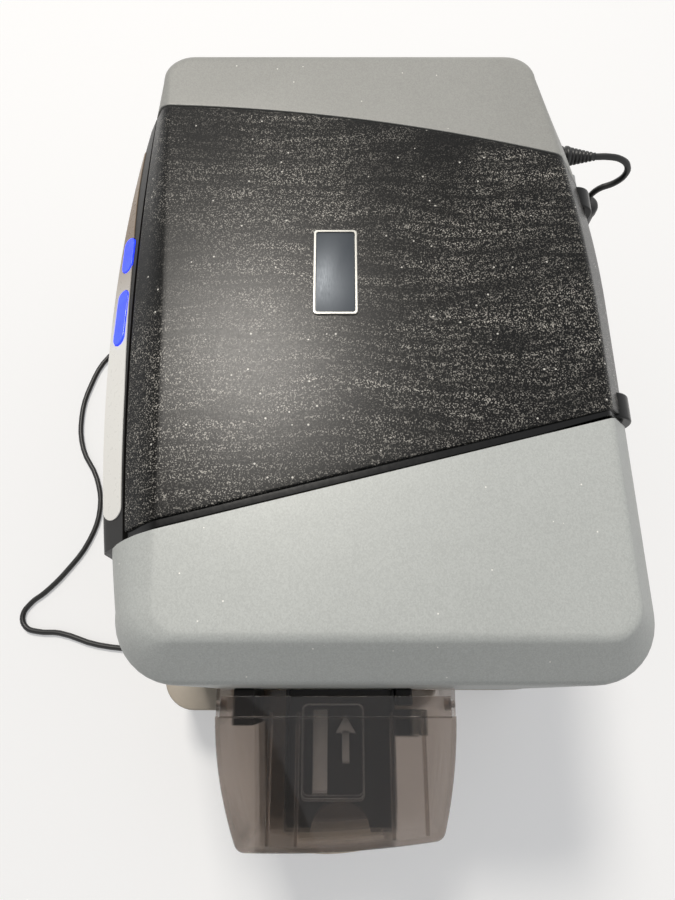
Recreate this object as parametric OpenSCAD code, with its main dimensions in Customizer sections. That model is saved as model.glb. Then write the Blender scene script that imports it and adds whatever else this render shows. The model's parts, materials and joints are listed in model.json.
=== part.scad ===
/* [Casing] */
// Height of the closed printer above the desk
body_h = 249; // [244:0.5:256]
// Distance from the origin to the far end wall
far_x = 217.5; // [212:0.5:226]
// Distance from the origin to the end wall that carries the hopper
near_x = 128; // [126:0.5:134]
// How far the silver front bows out at its deepest point
front_y = 121; // [118:0.5:124]
// How far the back wall stands from the origin
back_y = 121.5; // [119:0.5:123]
// Height of the sloped band round the top
band_h = 20; // [16:0.5:24]
// Inward run of the sloped band at the hopper end
band_near = 17; // [13:0.5:21]
// Inward run of the sloped band at the far end
band_far = 22; // [16:0.5:26]
// How far the front panel stands proud of the silver ends
front_proud = 4; // [2:0.5:6]
// Wall of the moulded casings
wall = 2.6; // [2:0.1:3.2]
// Plan radius of the outer corners
corner_r = 28; // [22:1:34]
// Plan radius of the corners at the top edge
crease_r = 14; // [10:1:18]
// Gap round the cover and between casings
gap = 0.8; // [0.5:0.1:1.2]

/* [Base] */
// Height of the rubber feet
foot_h = 10; // [8:0.5:12]
// Radius of a rubber foot
foot_r = 10; // [7:0.5:13]
// Height of the base tray's top edge above the desk
base_top = 62; // [56:1:68]
// Floor of the base tray
floor_t = 3; // [2.4:0.2:4]
// How far the base stands out under the hopper
apron = 12.5; // [10:0.5:16]

/* [Top cover] */
// Height of the hinge axis below the top
hinge_drop = 23; // [21:0.5:26]
// Distance of the hinge axis from the origin
hinge_y = 114; // [112:0.5:115.5]
// Radius of the hinge knuckle beside the hopper end
knuckle_r = 11; // [10:0.5:11]
// Radius of the far hinge knuckle
far_knuckle_r = 8; // [7:0.5:9]
// Length of a hinge knuckle
knuckle_len = 13; // [10:1:16]
// Radius of a hinge pin
pin_r = 2.5; // [2:0.1:3]
// Width of the sunk rim beside the hopper end
rim_w = 3.6; // [2.5:0.2:5]
// Depth of that rim
rim_d = 1.4; // [0.8:0.1:1.8]
// Length of the badge plate
badge_l = 47; // [40:1:54]
// Width of the badge plate
badge_w = 21; // [17:1:25]

/* [Front panel] */
// Height at which the cover ends and the light strip begins, below the top
strip_drop = 9; // [8:0.5:10]
// Thickness of the light strip
strip_t = 1.6; // [1.2:0.1:1.9]
// Length of the short button
pause_l = 20; // [16:1:24]
// Length of the long button
power_l = 30; // [24:1:34]
// Width of both buttons
button_w = 8; // [6:0.5:9]
// Travel of a button
button_travel = 1.5; // [1:0.1:2]

/* [Card path] */
// Width of a card
card_w = 54; // [54:0.5:56]
// Height of the card path above the desk
card_z = 118; // [116:0.5:120]
// Sideways place of the path's middle line
path_y = -11.5; // [-13:0.5:-10]
// Radius of the driven rollers
roller_r = 9; // [8:0.5:10]
// Radius of the roller shafts
shaft_r = 3; // [2.5:0.1:3.5]
// Radius of the tacky cleaning roller
clean_r = 8; // [7:0.5:9]
// Place of the platen roller along the path
platen_x = -10; // [-14:1:-8]
// Module of the drive gears
gear_m = 1; // [0.9:0.05:1]
// Width of the drive gears
gear_w = 6; // [5:0.5:7]
// Thickness of the steel chassis plates
plate_t = 2; // [1.5:0.1:2.5]

/* [Ribbon] */
// Height of the ribbon spools above the card path
spool_rise = 47; // [45:1:50]
// Half the distance between the spools
spool_half = 38; // [37:0.5:40]
// Radius of a spool flange
flange_r = 17; // [15:0.5:18]
// Radius of the ribbon left on the supply spool
supply_r = 14; // [10:0.5:15]
// Radius of the ribbon on the take-up spool
takeup_r = 9.5; // [9:0.5:14]
// Width of the ribbon
ribbon_w = 58; // [56:0.5:59]

/* [Hopper] */
// Height of the hopper cover's top
hopper_top = 140; // [137:0.5:143]
// Height of the hopper's underside
hopper_low = 78; // [75:1:82]
// Reach of the hopper from the end wall at its front corner, without the lip
hopper_l = 77; // [75:0.5:79]
// How much less it reaches at its back corner
end_skew = 5.4; // [3:0.2:7]
// How far its end bows out in the middle
end_bow = 2.3; // [1:0.1:3]
// Reach of the light lip from the end wall
lip_l = 89.5; // [86:0.5:94]
// Wall of the smoked hopper
hopper_wall = 2.2; // [1.8:0.1:2.6]
// Width of the card tray
tray_w = 60; // [58:0.5:62]
// Radius of the thumb notch
notch_r = 16; // [12:0.5:18]
// Travel of the card tray
tray_travel = 16; // [10:1:18]

/* [Rear] */
// Depth of the rear panel's top edge below the top
rear_drop = 45; // [42:1:48]
// Side of the square fan
fan_s = 60; // [50:1:62]
// Place of the fan along the body
fan_x = 40; // [34:1:46]
// Depth of the fan's middle below the top
fan_drop = 99; // [93:1:109]
// Place of the power socket along the body
jack_x = -182.5; // [-186:0.5:-180]
// Depth of the power socket below the top
jack_drop = 59; // [58:1:69]
// Radius of the power plug
plug_r = 6.2; // [5.5:0.1:7]
// Radius of the ferrite
ferrite_r = 8.5; // [7:0.5:9.5]

/* [Hidden] */
$fn = 48;
run_gap = 0.05;

// Heights and ends of the casing
band_z = body_h - band_h;
near_top = near_x - band_near;
far_top = -far_x + band_far;
strip_z = body_h - strip_drop;
hinge_z = body_h - hinge_drop;
floor_z = foot_h + floor_t;
inner_y = back_y - wall;
rear_top = body_h - rear_drop;
fan_z = body_h - fan_drop;
jack_z = body_h - jack_drop;

// Plan curves of the casing: outer wall and top edge, front and back
bow_x = -48.5;
bow = 0.000635;
front_run = 26.3;
front_skew = 0.0575;
back_run = 13.5;
back_bow_x = -52.5;
back_bow = 0.00105;
top_bow_x = -22.5;
top_bow = 0.0006;
function front_out(x) = -front_y + bow * pow(x - bow_x, 2);
function front_top(x) = -front_y + front_run + front_skew * x;
function back_out(x) = back_y - back_bow * pow(min(x - back_bow_x, 0), 2);
function back_top(x) = back_y - back_run - top_bow * pow(min(x - top_bow_x, 0), 2);
function mix(a, b, t) = a + (b - a) * t;

// Plan lines where the black middle meets the silver ends
near_cut_x = 44.75;
near_cut_slope = 0.2535;
far_cut_x = -144.5;
far_cut_slope = 0.163;
far_cut_bow = 7;
far_cut_half = 104.5;
function near_cut(y) = near_cut_x - near_cut_slope * y;
function far_cut(y) = far_cut_x + far_cut_slope * y - far_cut_bow * (1 - pow(y / far_cut_half, 2));

// One closed plan outline. ws blends ends and back towards the top edge, wf the front,
// d insets it and proud moves the front outwards.
side_n = 10;
arc_n = 6;
function arc(c, r, a0) = [for (i = [0 : arc_n]) let (a = a0 + 90 * i / arc_n) c + r * [cos(a), sin(a)]];
function ring(ws, wf, d, proud) =
    let (
        xa = mix(-far_x, far_top, ws) + d,
        xb = mix(near_x, near_top, ws) - d,
        r = max(mix(corner_r, crease_r, ws) - d, 1),
        x0 = xa + r,
        x1 = xb - r,
        yf = [for (i = [0 : side_n]) let (x = mix(x0, x1, i / side_n))
            mix(front_out(x) - proud, front_top(x), wf) + d],
        yb = [for (i = [0 : side_n]) let (x = mix(x1, x0, i / side_n))
            mix(back_out(x), back_top(x), ws) - d]
    )
    concat(
        arc([x1, yb[0] - r], r, 0),
        [for (i = [1 : side_n - 1]) [mix(x1, x0, i / side_n), yb[i]]],
        arc([x0, yb[side_n] - r], r, 90),
        arc([x0, yf[0] + r], r, 180),
        [for (i = [1 : side_n - 1]) [mix(x0, x1, i / side_n), yf[i]]],
        arc([x1, yf[side_n] + r], r, 270)
    );

// Height and blend of each ring: [share of the band, side blend, front blend]
end_profile = [[0, 0, 0], [0.3, 0.3, 0.1], [0.55, 0.55, 0.26], [0.75, 0.75, 0.46], [0.9, 0.9, 0.7],
    [1, 1, 1]];
mid_profile = [[0, 0, 0], [0.55, 0.55, 0.5], [0.85, 0.85, 0.8], [1, 1, 1]];

module loft(rings, heights) {
    n = len(rings[0]);
    m = len(rings);
    points = [for (k = [0 : m - 1]) for (p = rings[k]) [p[0], p[1], heights[k]]];
    sides = [for (k = [0 : m - 2]) for (i = [0 : n - 1])
        let (a = k * n + i, b = k * n + (i + 1) % n) each [[a, a + n, b], [b, a + n, b + n]]];
    polyhedron(points, concat(sides, [[for (i = [0 : n - 1]) i]],
        [[for (i = [n - 1 : -1 : 0]) (m - 1) * n + i]]), convexity = 8);
}

// Solid of the casing's outside, or of its inside when d is the wall
module casing_solid(profile, d, proud, low) {
    heights = concat([low], [for (p = profile) band_z + p[0] * band_h - (p[0] > 0 ? d : d / 2)]);
    rings = concat([ring(0, 0, d, proud)], [for (p = profile) ring(p[1], p[2], d, proud)]);
    loft(rings, heights);
}

module casing_skin(profile, proud, t) {
    difference() {
        casing_solid(profile, 0, proud, base_top);
        casing_solid(profile, t, proud, base_top - 1);
    }
}

// Length beyond the part on every side, half depth of the plan areas that cut the casing, and
// how deep joined features run into each other
reach = far_x + near_x;
cut_y = 150;
cut_n = 12;
cut_rows = [for (i = [0 : cut_n]) mix(-cut_y, cut_y, i / cut_n)];
sink = 0.5;

// Plan area of the black middle, drawn in by g on both sides
module mid_area(g) {
    polygon(concat([for (y = cut_rows) [far_cut(y) + g, y]],
        [[near_cut(cut_y) - g, cut_y], [near_cut(-cut_y) - g, -cut_y]]));
}

// Plan area of the cover: its sides draw in towards the hinge, where they swing past the silver ends
swing_gap = 1.2;
swing_y = [75, 110];
function swing(y) = gap + swing_gap * max(0, min(1, (y - swing_y[0]) / (swing_y[1] - swing_y[0])));
module cover_area() {
    rows = concat([for (y = cut_rows) if (y < swing_y[0]) y], swing_y, [cut_y]);
    polygon(concat([for (y = rows) [far_cut(y) + swing(y), y]],
        [for (y = [cut_y, swing_y[1], swing_y[0], -cut_y]) [near_cut(y) - swing(y), y]]));
}

module near_area() {
    polygon([[near_cut(-cut_y), -cut_y], [reach, -cut_y], [reach, cut_y], [near_cut(cut_y), cut_y]]);
}

module far_area() {
    polygon(concat([for (y = cut_rows) [far_cut(y), y]], [[-reach, cut_y], [-reach, -cut_y]]));
}

// Rear panel: its opening in the silver ends
rear_far_in = 21.5;
rear_near_in = 28;
rear_y = 80;
rear_x0 = -far_x + rear_far_in;
rear_x1 = near_x - rear_near_in;
rear_mid_top = hinge_z - knuckle_r - 2;
module rear_block(g) {
    translate([rear_x0 - g, rear_y, base_top - 1])
        cube([rear_x1 - rear_x0 + 2 * g, cut_y - rear_y, rear_top - base_top + 1 + g]);
}

// Card openings in the hopper end wall
slot_clear = 3;
slot_w = card_w + 2 * slot_clear;
in_drop = 2;
in_h = 14;
out_rise = 12;
out_h = 12;
out_z = hopper_low + out_rise;
module card_openings() {
    for (s = [[card_z - in_drop, in_h], [out_z, out_h]])
        translate([near_x - wall - 1, path_y - slot_w / 2, s[0]]) cube([wall + 2, slot_w, s[1]]);
}

boss_r = pin_r + 2;
near_boss_x = near_cut(hinge_y) + gap / 2;
far_boss_x = far_cut(hinge_y) - gap / 2;
boss_l = 9;
web_t = 4;
module hinge_bar(x, r, h) {
    translate([x, hinge_y, hinge_z]) rotate([0, 90, 0]) cylinder(r = r, h = h);
}

module end_casing_near() {
    color([0.74, 0.76, 0.75]) difference() {
        union() {
            intersection() {
                casing_skin(end_profile, 0, wall);
                translate([0, 0, base_top - 1]) linear_extrude(reach) near_area();
            }
            hinge_bar(near_boss_x, boss_r, boss_l);
            translate([near_boss_x, hinge_y, hinge_z - web_t / 2])
                cube([boss_l, inner_y - hinge_y + sink, web_t]);
        }
        hinge_bar(near_boss_x - 1, pin_r, boss_l + 2);
        rear_block(gap);
        card_openings();
    }
}

module end_casing_far() {
    color([0.64, 0.65, 0.64]) difference() {
        union() {
            intersection() {
                casing_skin(end_profile, 0, wall);
                translate([0, 0, base_top - 1]) linear_extrude(reach) far_area();
            }
            hinge_bar(far_boss_x - boss_l, boss_r, boss_l);
        }
        hinge_bar(far_boss_x - boss_l - 1, pin_r, boss_l + 2);
        rear_block(gap);
    }
}

// Light strip: its outline seen from the front
strip_x0 = -146;
strip_x1 = 60;
strip_low = band_z + 1;
strip_edge = 1.5;
strip_end = 5;
strip_end_n = 6;
strip_taper_near = 60;
strip_taper_far = 70;
strip_y = -80;
strip_clear = 0.15;
module strip_area(g) {
    x = strip_x1 - strip_end;
    top = strip_z - strip_edge;
    translate([0, strip_y, 0]) rotate([90, 0, 0]) linear_extrude(cut_y + strip_y) offset(delta = g)
        polygon(concat([[strip_x0, strip_low], [x, strip_low]],
            [for (i = [0 : strip_end_n]) let (a = 180 * i / strip_end_n)
                [x + strip_end * sin(a), mix(strip_low, top, (1 - cos(a)) / 2)]],
            [[strip_x1 - strip_taper_near, top], [strip_x0 + strip_taper_far, top - strip_edge],
                [strip_x0, strip_low + strip_edge]]));
}

// Buttons: slope of the light strip, and the middle of each button on it
slope_ring = mid_profile[1];
slope_dy = slope_ring[2] * (front_top(bow_x) + front_y + front_proud);
slope_dz = slope_ring[0] * band_h;
tilt = atan2(slope_dz, slope_dy);
button_z = band_z + slope_dz / 2;
pause_x = -77;
power_x = -41;
button_clear = 0.3;
button_depth = 9;
function button_y(x) = mix(front_out(x) - front_proud, front_top(x), slope_ring[2] / 2);

module stadium(l, w, g) {
    hull() {
        translate([-l / 2 + w / 2, 0]) circle(r = w / 2 + g);
        translate([l / 2 - w / 2, 0]) circle(r = w / 2 + g);
    }
}

module on_strip(x) {
    translate([x, button_y(x), button_z]) rotate([tilt, 0, 0]) children();
}

module button_holes() {
    for (b = [[pause_x, pause_l], [power_x, power_l]]) on_strip(b[0])
        translate([0, 0, 1 - button_depth]) linear_extrude(2 * button_depth)
            stadium(b[1], button_w, button_clear);
}

// Button cap with the rim that keeps it in, and the stem that meets the board
cap_in = 5;
cap_out = 0.8;
rim_out = 1;
rim_t = 1.2;
rim_lap = 0.1;
stem_r = 1.8;
stem_gap = 0.4;
module button(x, l) {
    stem_z = button_travel + stem_gap - button_depth;
    on_strip(x) {
        translate([0, 0, -cap_in]) linear_extrude(cap_in + cap_out) stadium(l, button_w, 0);
        translate([0, 0, -cap_in - rim_t]) linear_extrude(rim_t + rim_lap) stadium(l, button_w, rim_out);
        translate([0, 0, stem_z]) cylinder(r = stem_r, h = -cap_in - stem_z);
    }
}

module pause_button() {
    color([0.15, 0.25, 0.95]) button(pause_x, pause_l);
}

module power_button() {
    color([0.1, 0.2, 0.95]) button(power_x, power_l);
}

module light_strip() {
    color([0.9, 0.88, 0.83]) difference() {
        intersection() {
            difference() {
                casing_solid(mid_profile, 0, front_proud, base_top);
                casing_solid(mid_profile, strip_t, front_proud, base_top - 1);
            }
            strip_area(0);
        }
        button_holes();
    }
}

panel_t = wall + 0.8;
panel_y = -60;
panel_over = 5;
board_t = 1.6;
board_l = 90;
board_w = 10;
board_x = (pause_x + power_x) / 2 + 1;
board_posts = [-board_l / 2 + 3, -5.5, board_l / 2 - 7];
post_l = 4;
post_w = 6;
module front_panel() {
    color([0.1, 0.1, 0.1]) difference() {
        union() {
            intersection() {
                casing_skin(mid_profile, front_proud, panel_t);
                translate([-reach, -reach, base_top - 1])
                    cube([2 * reach, reach + panel_y, strip_z - gap - base_top + 1]);
                translate([0, 0, base_top - 1]) linear_extrude(reach) mid_area(gap / 2);
            }
            for (x = board_posts) on_strip(board_x)
                translate([x, -post_w / 2, -button_depth]) cube([post_l, post_w, button_depth - 1]);
        }
        intersection() {
            difference() {
                casing_solid(mid_profile, -panel_over, front_proud, base_top);
                casing_solid(mid_profile, strip_t, front_proud, base_top - 1);
            }
            strip_area(strip_clear);
        }
        button_holes();
    }
}

module button_board() {
    color([0.1, 0.35, 0.2]) on_strip(board_x)
        translate([-board_l / 2, -board_w / 2, -button_depth - board_t]) cube([board_l, board_w, board_t]);
}

// Rear panel with its vents, ports and fan grille
fan_t = 15;
fan_y = inner_y - fan_t;
fan_rim = 2;
fan_r = fan_s / 2 - fan_rim;
grille_n = 3;
grille_in = 4;
grille_pitch = 7;
grille_slot = 2.2;
grille_rib = 3;
vent_x = -116;
vent_n = 11;
vent_pitch = 9;
vent_rise = 22;
vent = [3.5, 46];
usb_x = -160;
usb_w = 12;
usb_h = 11;
jack_r = 7.5;
port_clear = 0.5;
module rear_hole(x, z, r) {
    translate([x, rear_y, z]) rotate([-90, 0, 0]) cylinder(r = r, h = cut_y - rear_y);
}

module rear_panel() {
    color([0.2, 0.2, 0.2]) difference() {
        intersection() {
            casing_skin(end_profile, 0, wall);
            union() {
                rear_block(0);
                translate([0, 0, base_top - 1]) linear_extrude(rear_mid_top - base_top + 1)
                    intersection() {
                        mid_area(gap);
                        translate([-reach, rear_y]) square([2 * reach, reach]);
                    }
            }
        }
        for (i = [0 : vent_n - 1]) translate([vent_x + vent_pitch * i, rear_y, base_top + vent_rise])
            cube([vent[0], cut_y - rear_y, vent[1]]);
        for (i = [0 : grille_n - 1]) let (r = fan_r - grille_in - grille_pitch * i) difference() {
            rear_hole(fan_x, fan_z, r + grille_slot);
            rear_hole(fan_x, fan_z, r - grille_slot);
            for (a = [0, 90]) translate([fan_x, 0, fan_z]) rotate([0, a, 0])
                translate([-fan_s, 0, -grille_rib / 2]) cube([2 * fan_s, cut_y, grille_rib]);
        }
        rear_hole(jack_x, jack_z, jack_r);
        translate([usb_x - usb_w / 2 - port_clear, rear_y, jack_z - usb_h / 2 - port_clear])
            cube([usb_w + 2 * port_clear, cut_y - rear_y, usb_h + 2 * port_clear]);
    }
}

// Top cover
near_knuckle_x = near_cut(hinge_y + knuckle_r) - gap - knuckle_len;
far_knuckle_x = far_cut(hinge_y + far_knuckle_r) + gap;
bore_over = 3;
skirt_y = 60;
skirt_h = 9;
cover_low = hinge_z - skirt_h;
frame_boss_r = 4;
function rim_cut(y) = near_cut(y) - gap - rim_w;
module top_cover() {
    color([0.07, 0.07, 0.07]) difference() {
        union() {
            intersection() {
                casing_skin(mid_profile, front_proud, wall);
                translate([0, 0, base_top]) linear_extrude(reach) cover_area();
                union() {
                    translate([-reach, -reach, strip_z]) cube([2 * reach, 2 * reach, reach]);
                    translate([-reach, skirt_y, cover_low]) cube([2 * reach, reach, reach]);
                }
            }
            hinge_bar(near_knuckle_x, knuckle_r, knuckle_len);
            hinge_bar(far_knuckle_x, far_knuckle_r, knuckle_len);
            for (x = frame_boss_x, y = frame_boss_y) translate([x, y, frame_z + frame_t])
                cylinder(r = frame_boss_r, h = body_h - wall - frame_z - frame_t + sink);
        }
        for (x = [near_knuckle_x, far_knuckle_x])
            hinge_bar(x - bore_over, pin_r + run_gap, knuckle_len + 2 * bore_over);
        translate([0, 0, body_h - rim_d]) linear_extrude(rim_d + 1) polygon([
            [rim_cut(cut_y), cut_y], [rim_cut(-cut_y), -cut_y], [reach, -cut_y], [reach, cut_y]]);
    }
}

badge_x = -57.5;
badge_y = -14;
badge_t = 0.9;
badge_rim = 1.6;
badge_deep = 0.4;
module badge_plate() {
    color([0.75, 0.76, 0.77]) translate([badge_x, badge_y, body_h]) difference() {
        translate([-badge_l / 2, -badge_w / 2, 0]) cube([badge_l, badge_w, badge_t]);
        translate([badge_rim - badge_l / 2, badge_rim - badge_w / 2, badge_t - badge_deep])
            cube([badge_l - 2 * badge_rim, badge_w - 2 * badge_rim, badge_t]);
    }
}

pin_end = 1;
module hinge_pins() {
    color([0.7, 0.7, 0.7]) {
        hinge_bar(near_knuckle_x + pin_end, pin_r, near_boss_x + boss_l - near_knuckle_x - pin_end);
        hinge_bar(far_boss_x - boss_l, pin_r, far_knuckle_x + knuckle_len - pin_end - far_boss_x + boss_l);
    }
}

// Steel frame under the cover, which carries the print head
frame_drop = 17;
frame_t = 1.5;
frame_z = body_h - frame_drop;
frame_back = 58;
frame_front = 32;
frame_x0 = platen_x - frame_back;
frame_x1 = platen_x + frame_front;
frame_edge = 8;
frame_boss_x = [frame_x0 + frame_edge, frame_x1 - frame_edge];
frame_boss_y = [-66, 60];
frame_hole = [20, 40];
frame_hole_x = [platen_x - 42, platen_x + 8];
frame_hole_y = 12;
module cover_frame() {
    color([0.62, 0.63, 0.65]) difference() {
        translate([frame_x0, frame_boss_y[0] - frame_edge, frame_z])
            cube([frame_x1 - frame_x0, frame_boss_y[1] - frame_boss_y[0] + 2 * frame_edge, frame_t]);
        for (x = frame_hole_x) translate([x, frame_hole_y, frame_z - 1])
            cube([frame_hole[0], frame_hole[1], frame_t + 2]);
    }
}

// Print head: bracket under the frame, and the carrier that slides in it on its springs
head_w = ribbon_w + 1;
head_d = 20;
cheek_t = 2;
cheek_in = head_w / 2 + 1.2;
cheek_rise = 24;
bar_rise = 62;
slide_rise = 40;
slide_r = 2;
slide_clear = 0.1;
slide_l = 8;
slide_z = card_z + slide_rise;
module head_bracket() {
    out = cheek_in + cheek_t;
    color([0.55, 0.56, 0.58]) translate([platen_x, path_y, 0]) difference() {
        union() {
            for (y = [-out, cheek_in]) translate([-head_d / 2, y, card_z + cheek_rise])
                cube([head_d, cheek_t, frame_z - card_z - cheek_rise]);
            for (z = [frame_z - cheek_t, card_z + bar_rise]) translate([-head_d / 2, -out, z])
                cube([head_d, 2 * out, cheek_t]);
        }
        translate([-slide_r - slide_clear, -head_w, slide_z - slide_r - slide_clear])
            cube([2 * (slide_r + slide_clear), 2 * head_w, slide_l]);
    }
}

head_rise = 3;
head_t = 7;
carrier_t = 8;
arm_w = 4;
arm_l = 6;
arm_over = 4;
module head_carrier() {
    low = card_z + head_rise + head_t;
    color([0.14, 0.14, 0.15]) translate([platen_x, path_y, 0]) {
        translate([-head_d / 2 + 1, -head_w / 2, low]) cube([head_d - 2, head_w, carrier_t]);
        for (y = [-head_w / 2, head_w / 2 - arm_w]) translate([-arm_l / 2, y, low + carrier_t - 1])
            cube([arm_l, arm_w, slide_z + arm_over - low - carrier_t + 1]);
        translate([0, -cheek_in - cheek_t - 1, slide_z]) rotate([-90, 0, 0])
            cylinder(r = slide_r, h = 2 * (cheek_in + cheek_t + 1));
    }
}

head_l = 14;
edge_r = 2.2;
edge_rise = 3.4;
module print_head() {
    color([0.88, 0.87, 0.82]) translate([platen_x, path_y - head_w / 2, card_z]) {
        translate([-head_l / 2, 0, head_rise]) cube([head_l, head_w, head_t]);
        translate([0, 0, edge_rise]) rotate([-90, 0, 0]) cylinder(r = edge_r, h = head_w);
    }
}

sink_l = 16;
sink_t = 2;
sink_in = 5;
fin_t = 1.6;
fin_h = 14;
fin_pitch = 5;
fin_n = floor((head_w - 2 * sink_in - fin_t) / fin_pitch) + 1;
module heat_sink() {
    z = card_z + head_rise + head_t + carrier_t;
    color([0.72, 0.73, 0.75]) translate([platen_x - sink_l / 2, path_y - head_w / 2 + sink_in, z]) {
        cube([sink_l, head_w - 2 * sink_in, sink_t]);
        for (i = [0 : fin_n - 1]) translate([0, fin_pitch * i + 1, sink_t]) cube([sink_l, fin_t, fin_h]);
    }
}

// Chassis plates on both sides of the card path, and the gear train
idler_n = 52;
platen_n = 32;
feed_n = 24;
pinion_n = 16;
takeup_n = 32;
ribbon_n = 12;
function pitch_r(n) = n * gear_m / 2;
front_off = 50.5;
back_off = 38.5;
plate_front_y = path_y - front_off;
plate_back_y = path_y + back_off;
roller_z = card_z - roller_r;
idler_dx = pitch_r(platen_n) + pitch_r(idler_n);
feed_dx = idler_dx + pitch_r(idler_n) + pitch_r(feed_n);
feed_x = platen_x + feed_dx;
transport_x = platen_x - feed_dx;
clean_dx = 27;
clean_gap = 0.4;
clean_x = feed_x + clean_dx;
clean_z = card_z + clean_r + clean_gap;
motor_x = platen_x - idler_dx;
motor_z = roller_z - pitch_r(idler_n) - pitch_r(pinion_n);
spool_z = card_z + spool_rise;
gear_gap = 2;
gear_y = plate_back_y + plate_t + gear_gap;
gear_end = gear_y + gear_w;
shaft_end = 1;
bush_t = 2;
bush_r = shaft_r + bush_t;
plate_x0 = -146;
plate_x1 = 110;
plate_rise = 24;
plate_foot = 10;
window = [36, 34];
window_x = [-116, -66, -6, 44];
window_rise = 29;
spool_shaft_r = 4;
upper_far = 28;
upper_near = 7;
upper_rise = 22;
pinion_hole_r = 6;

// Cylinder along +Y from y0 to y1
module rod(x, z, r, y0, y1) {
    translate([x, y0, z]) rotate([-90, 0, 0]) cylinder(r = r, h = y1 - y0);
}

module plate_hole(x, z, r) {
    rod(x, z, r, plate_front_y - 1, plate_back_y + plate_t + 1);
}

module plate_bores() {
    for (x = [transport_x, platen_x, feed_x]) plate_hole(x, roller_z, bush_r);
    plate_hole(clean_x, clean_z, bush_r);
}

module side_plate(y, foot_y) {
    translate([plate_x0, y, floor_z]) cube([plate_x1 - plate_x0, plate_t, card_z + plate_rise - floor_z]);
    translate([plate_x0, foot_y, floor_z]) cube([plate_x1 - plate_x0, plate_foot + plate_t, plate_t]);
}

module chassis_front() {
    color([0.66, 0.67, 0.68]) difference() {
        side_plate(plate_front_y, plate_front_y - plate_foot);
        plate_bores();
        for (x = window_x) translate([x, plate_front_y - 1, floor_z + window_rise])
            cube([window[0], plate_t + 2, window[1]]);
    }
}

module chassis_back() {
    upper_x0 = platen_x - spool_half - upper_far;
    color([0.66, 0.67, 0.68]) difference() {
        union() {
            side_plate(plate_back_y, plate_back_y);
            translate([upper_x0, plate_back_y, card_z])
                cube([ribbon_motor_x + can_r + upper_near - upper_x0, plate_t, spool_rise + upper_rise]);
        }
        plate_bores();
        plate_hole(motor_x, motor_z, pinion_hole_r);
        for (s = [-1, 1]) plate_hole(platen_x + s * spool_half, spool_z, spool_shaft_r + 1);
        for (s = [-1, 1]) plate_hole(platen_x + s * idler_dx, roller_z, shaft_r);
    }
}

module shaft_bushes() {
    color([0.72, 0.56, 0.3]) for (y = [plate_front_y, plate_back_y])
        for (p = [[transport_x, roller_z], [platen_x, roller_z], [feed_x, roller_z], [clean_x, clean_z]])
            difference() {
                rod(p[0], p[1], bush_r, y, y + plate_t);
                rod(p[0], p[1], shaft_r + run_gap, y - 1, y + plate_t + 1);
            }
}

roller_l = card_w + 6;
module roller(x, z, r, back) {
    rod(x, z, r, path_y - roller_l / 2, path_y + roller_l / 2);
    rod(x, z, shaft_r, plate_front_y - shaft_end, back);
}

module platen_roller() {
    color([0.12, 0.12, 0.12]) roller(platen_x, roller_z, roller_r, gear_end + shaft_end);
}

module feed_roller() {
    color([0.2, 0.2, 0.21]) roller(feed_x, roller_z, roller_r, gear_end + shaft_end);
}

module transport_roller() {
    color([0.2, 0.2, 0.21]) roller(transport_x, roller_z, roller_r, gear_end + shaft_end);
}

module cleaning_roller() {
    color([0.85, 0.83, 0.5]) roller(clean_x, clean_z, clean_r, plate_back_y + plate_t + 2 * shaft_end);
}

// Spur gear along +Y: teeth with backlash, a web and a bore. Corners of a tooth are given as
// [share of the tooth's half angle, height in modules]
backlash = 0.36;
tooth = [[-1.75, -1.2], [-0.95, -0.05], [-0.42, 0.95], [0.42, 0.95], [0.95, -0.05], [1.75, -1.2]];
web_min_r = 20;
web_ring = 0.58;
web_hole = 0.2;
module gear(x, z, n, phase, bore) {
    rp = pitch_r(n);
    half = (gear_m * PI / 4 - backlash / 2) / rp * 180 / PI;
    translate([x, gear_y, z]) rotate([-90, 0, 0]) difference() {
        linear_extrude(gear_w) rotate(phase) polygon([for (i = [0 : n - 1]) for (q = tooth)
            let (a = 360 * i / n + q[0] * half, r = rp + q[1] * gear_m) [r * cos(a), r * sin(a)]]);
        translate([0, 0, -1]) cylinder(r = bore, h = gear_w + 2);
        if (rp > web_min_r) for (a = [0 : 60 : 300]) rotate(a) translate([rp * web_ring, 0, -1])
            cylinder(r = rp * web_hole, h = gear_w + 2);
    }
}

module platen_gear() {
    color([0.9, 0.88, 0.82]) gear(platen_x, roller_z, platen_n, 0, shaft_r);
}

module feed_gear() {
    color([0.9, 0.88, 0.82]) gear(feed_x, roller_z, feed_n, 0, shaft_r);
}

module transport_gear() {
    color([0.9, 0.88, 0.82]) gear(transport_x, roller_z, feed_n, 0, shaft_r);
}

module idler_gear_near() {
    color([0.93, 0.91, 0.86]) gear(platen_x + idler_dx, roller_z, idler_n, 180 / idler_n, shaft_r + run_gap);
}

module idler_gear_far() {
    color([0.93, 0.91, 0.86]) gear(platen_x - idler_dx, roller_z, idler_n, 180 / idler_n, shaft_r + run_gap);
}

collar_out = [2, 1.5];
collar_gap = 0.3;
collar_t = gear_gap - collar_gap;
module idler_pins() {
    y = plate_back_y + plate_t;
    color([0.7, 0.7, 0.72]) for (x = [platen_x - idler_dx, platen_x + idler_dx]) {
        rod(x, roller_z, shaft_r, plate_back_y, gear_end + gear_gap);
        rod(x, roller_z, shaft_r + collar_out[0], y, y + collar_t);
        rod(x, roller_z, shaft_r + collar_out[1], gear_end + collar_gap, gear_end + gear_gap);
    }
}

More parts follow.
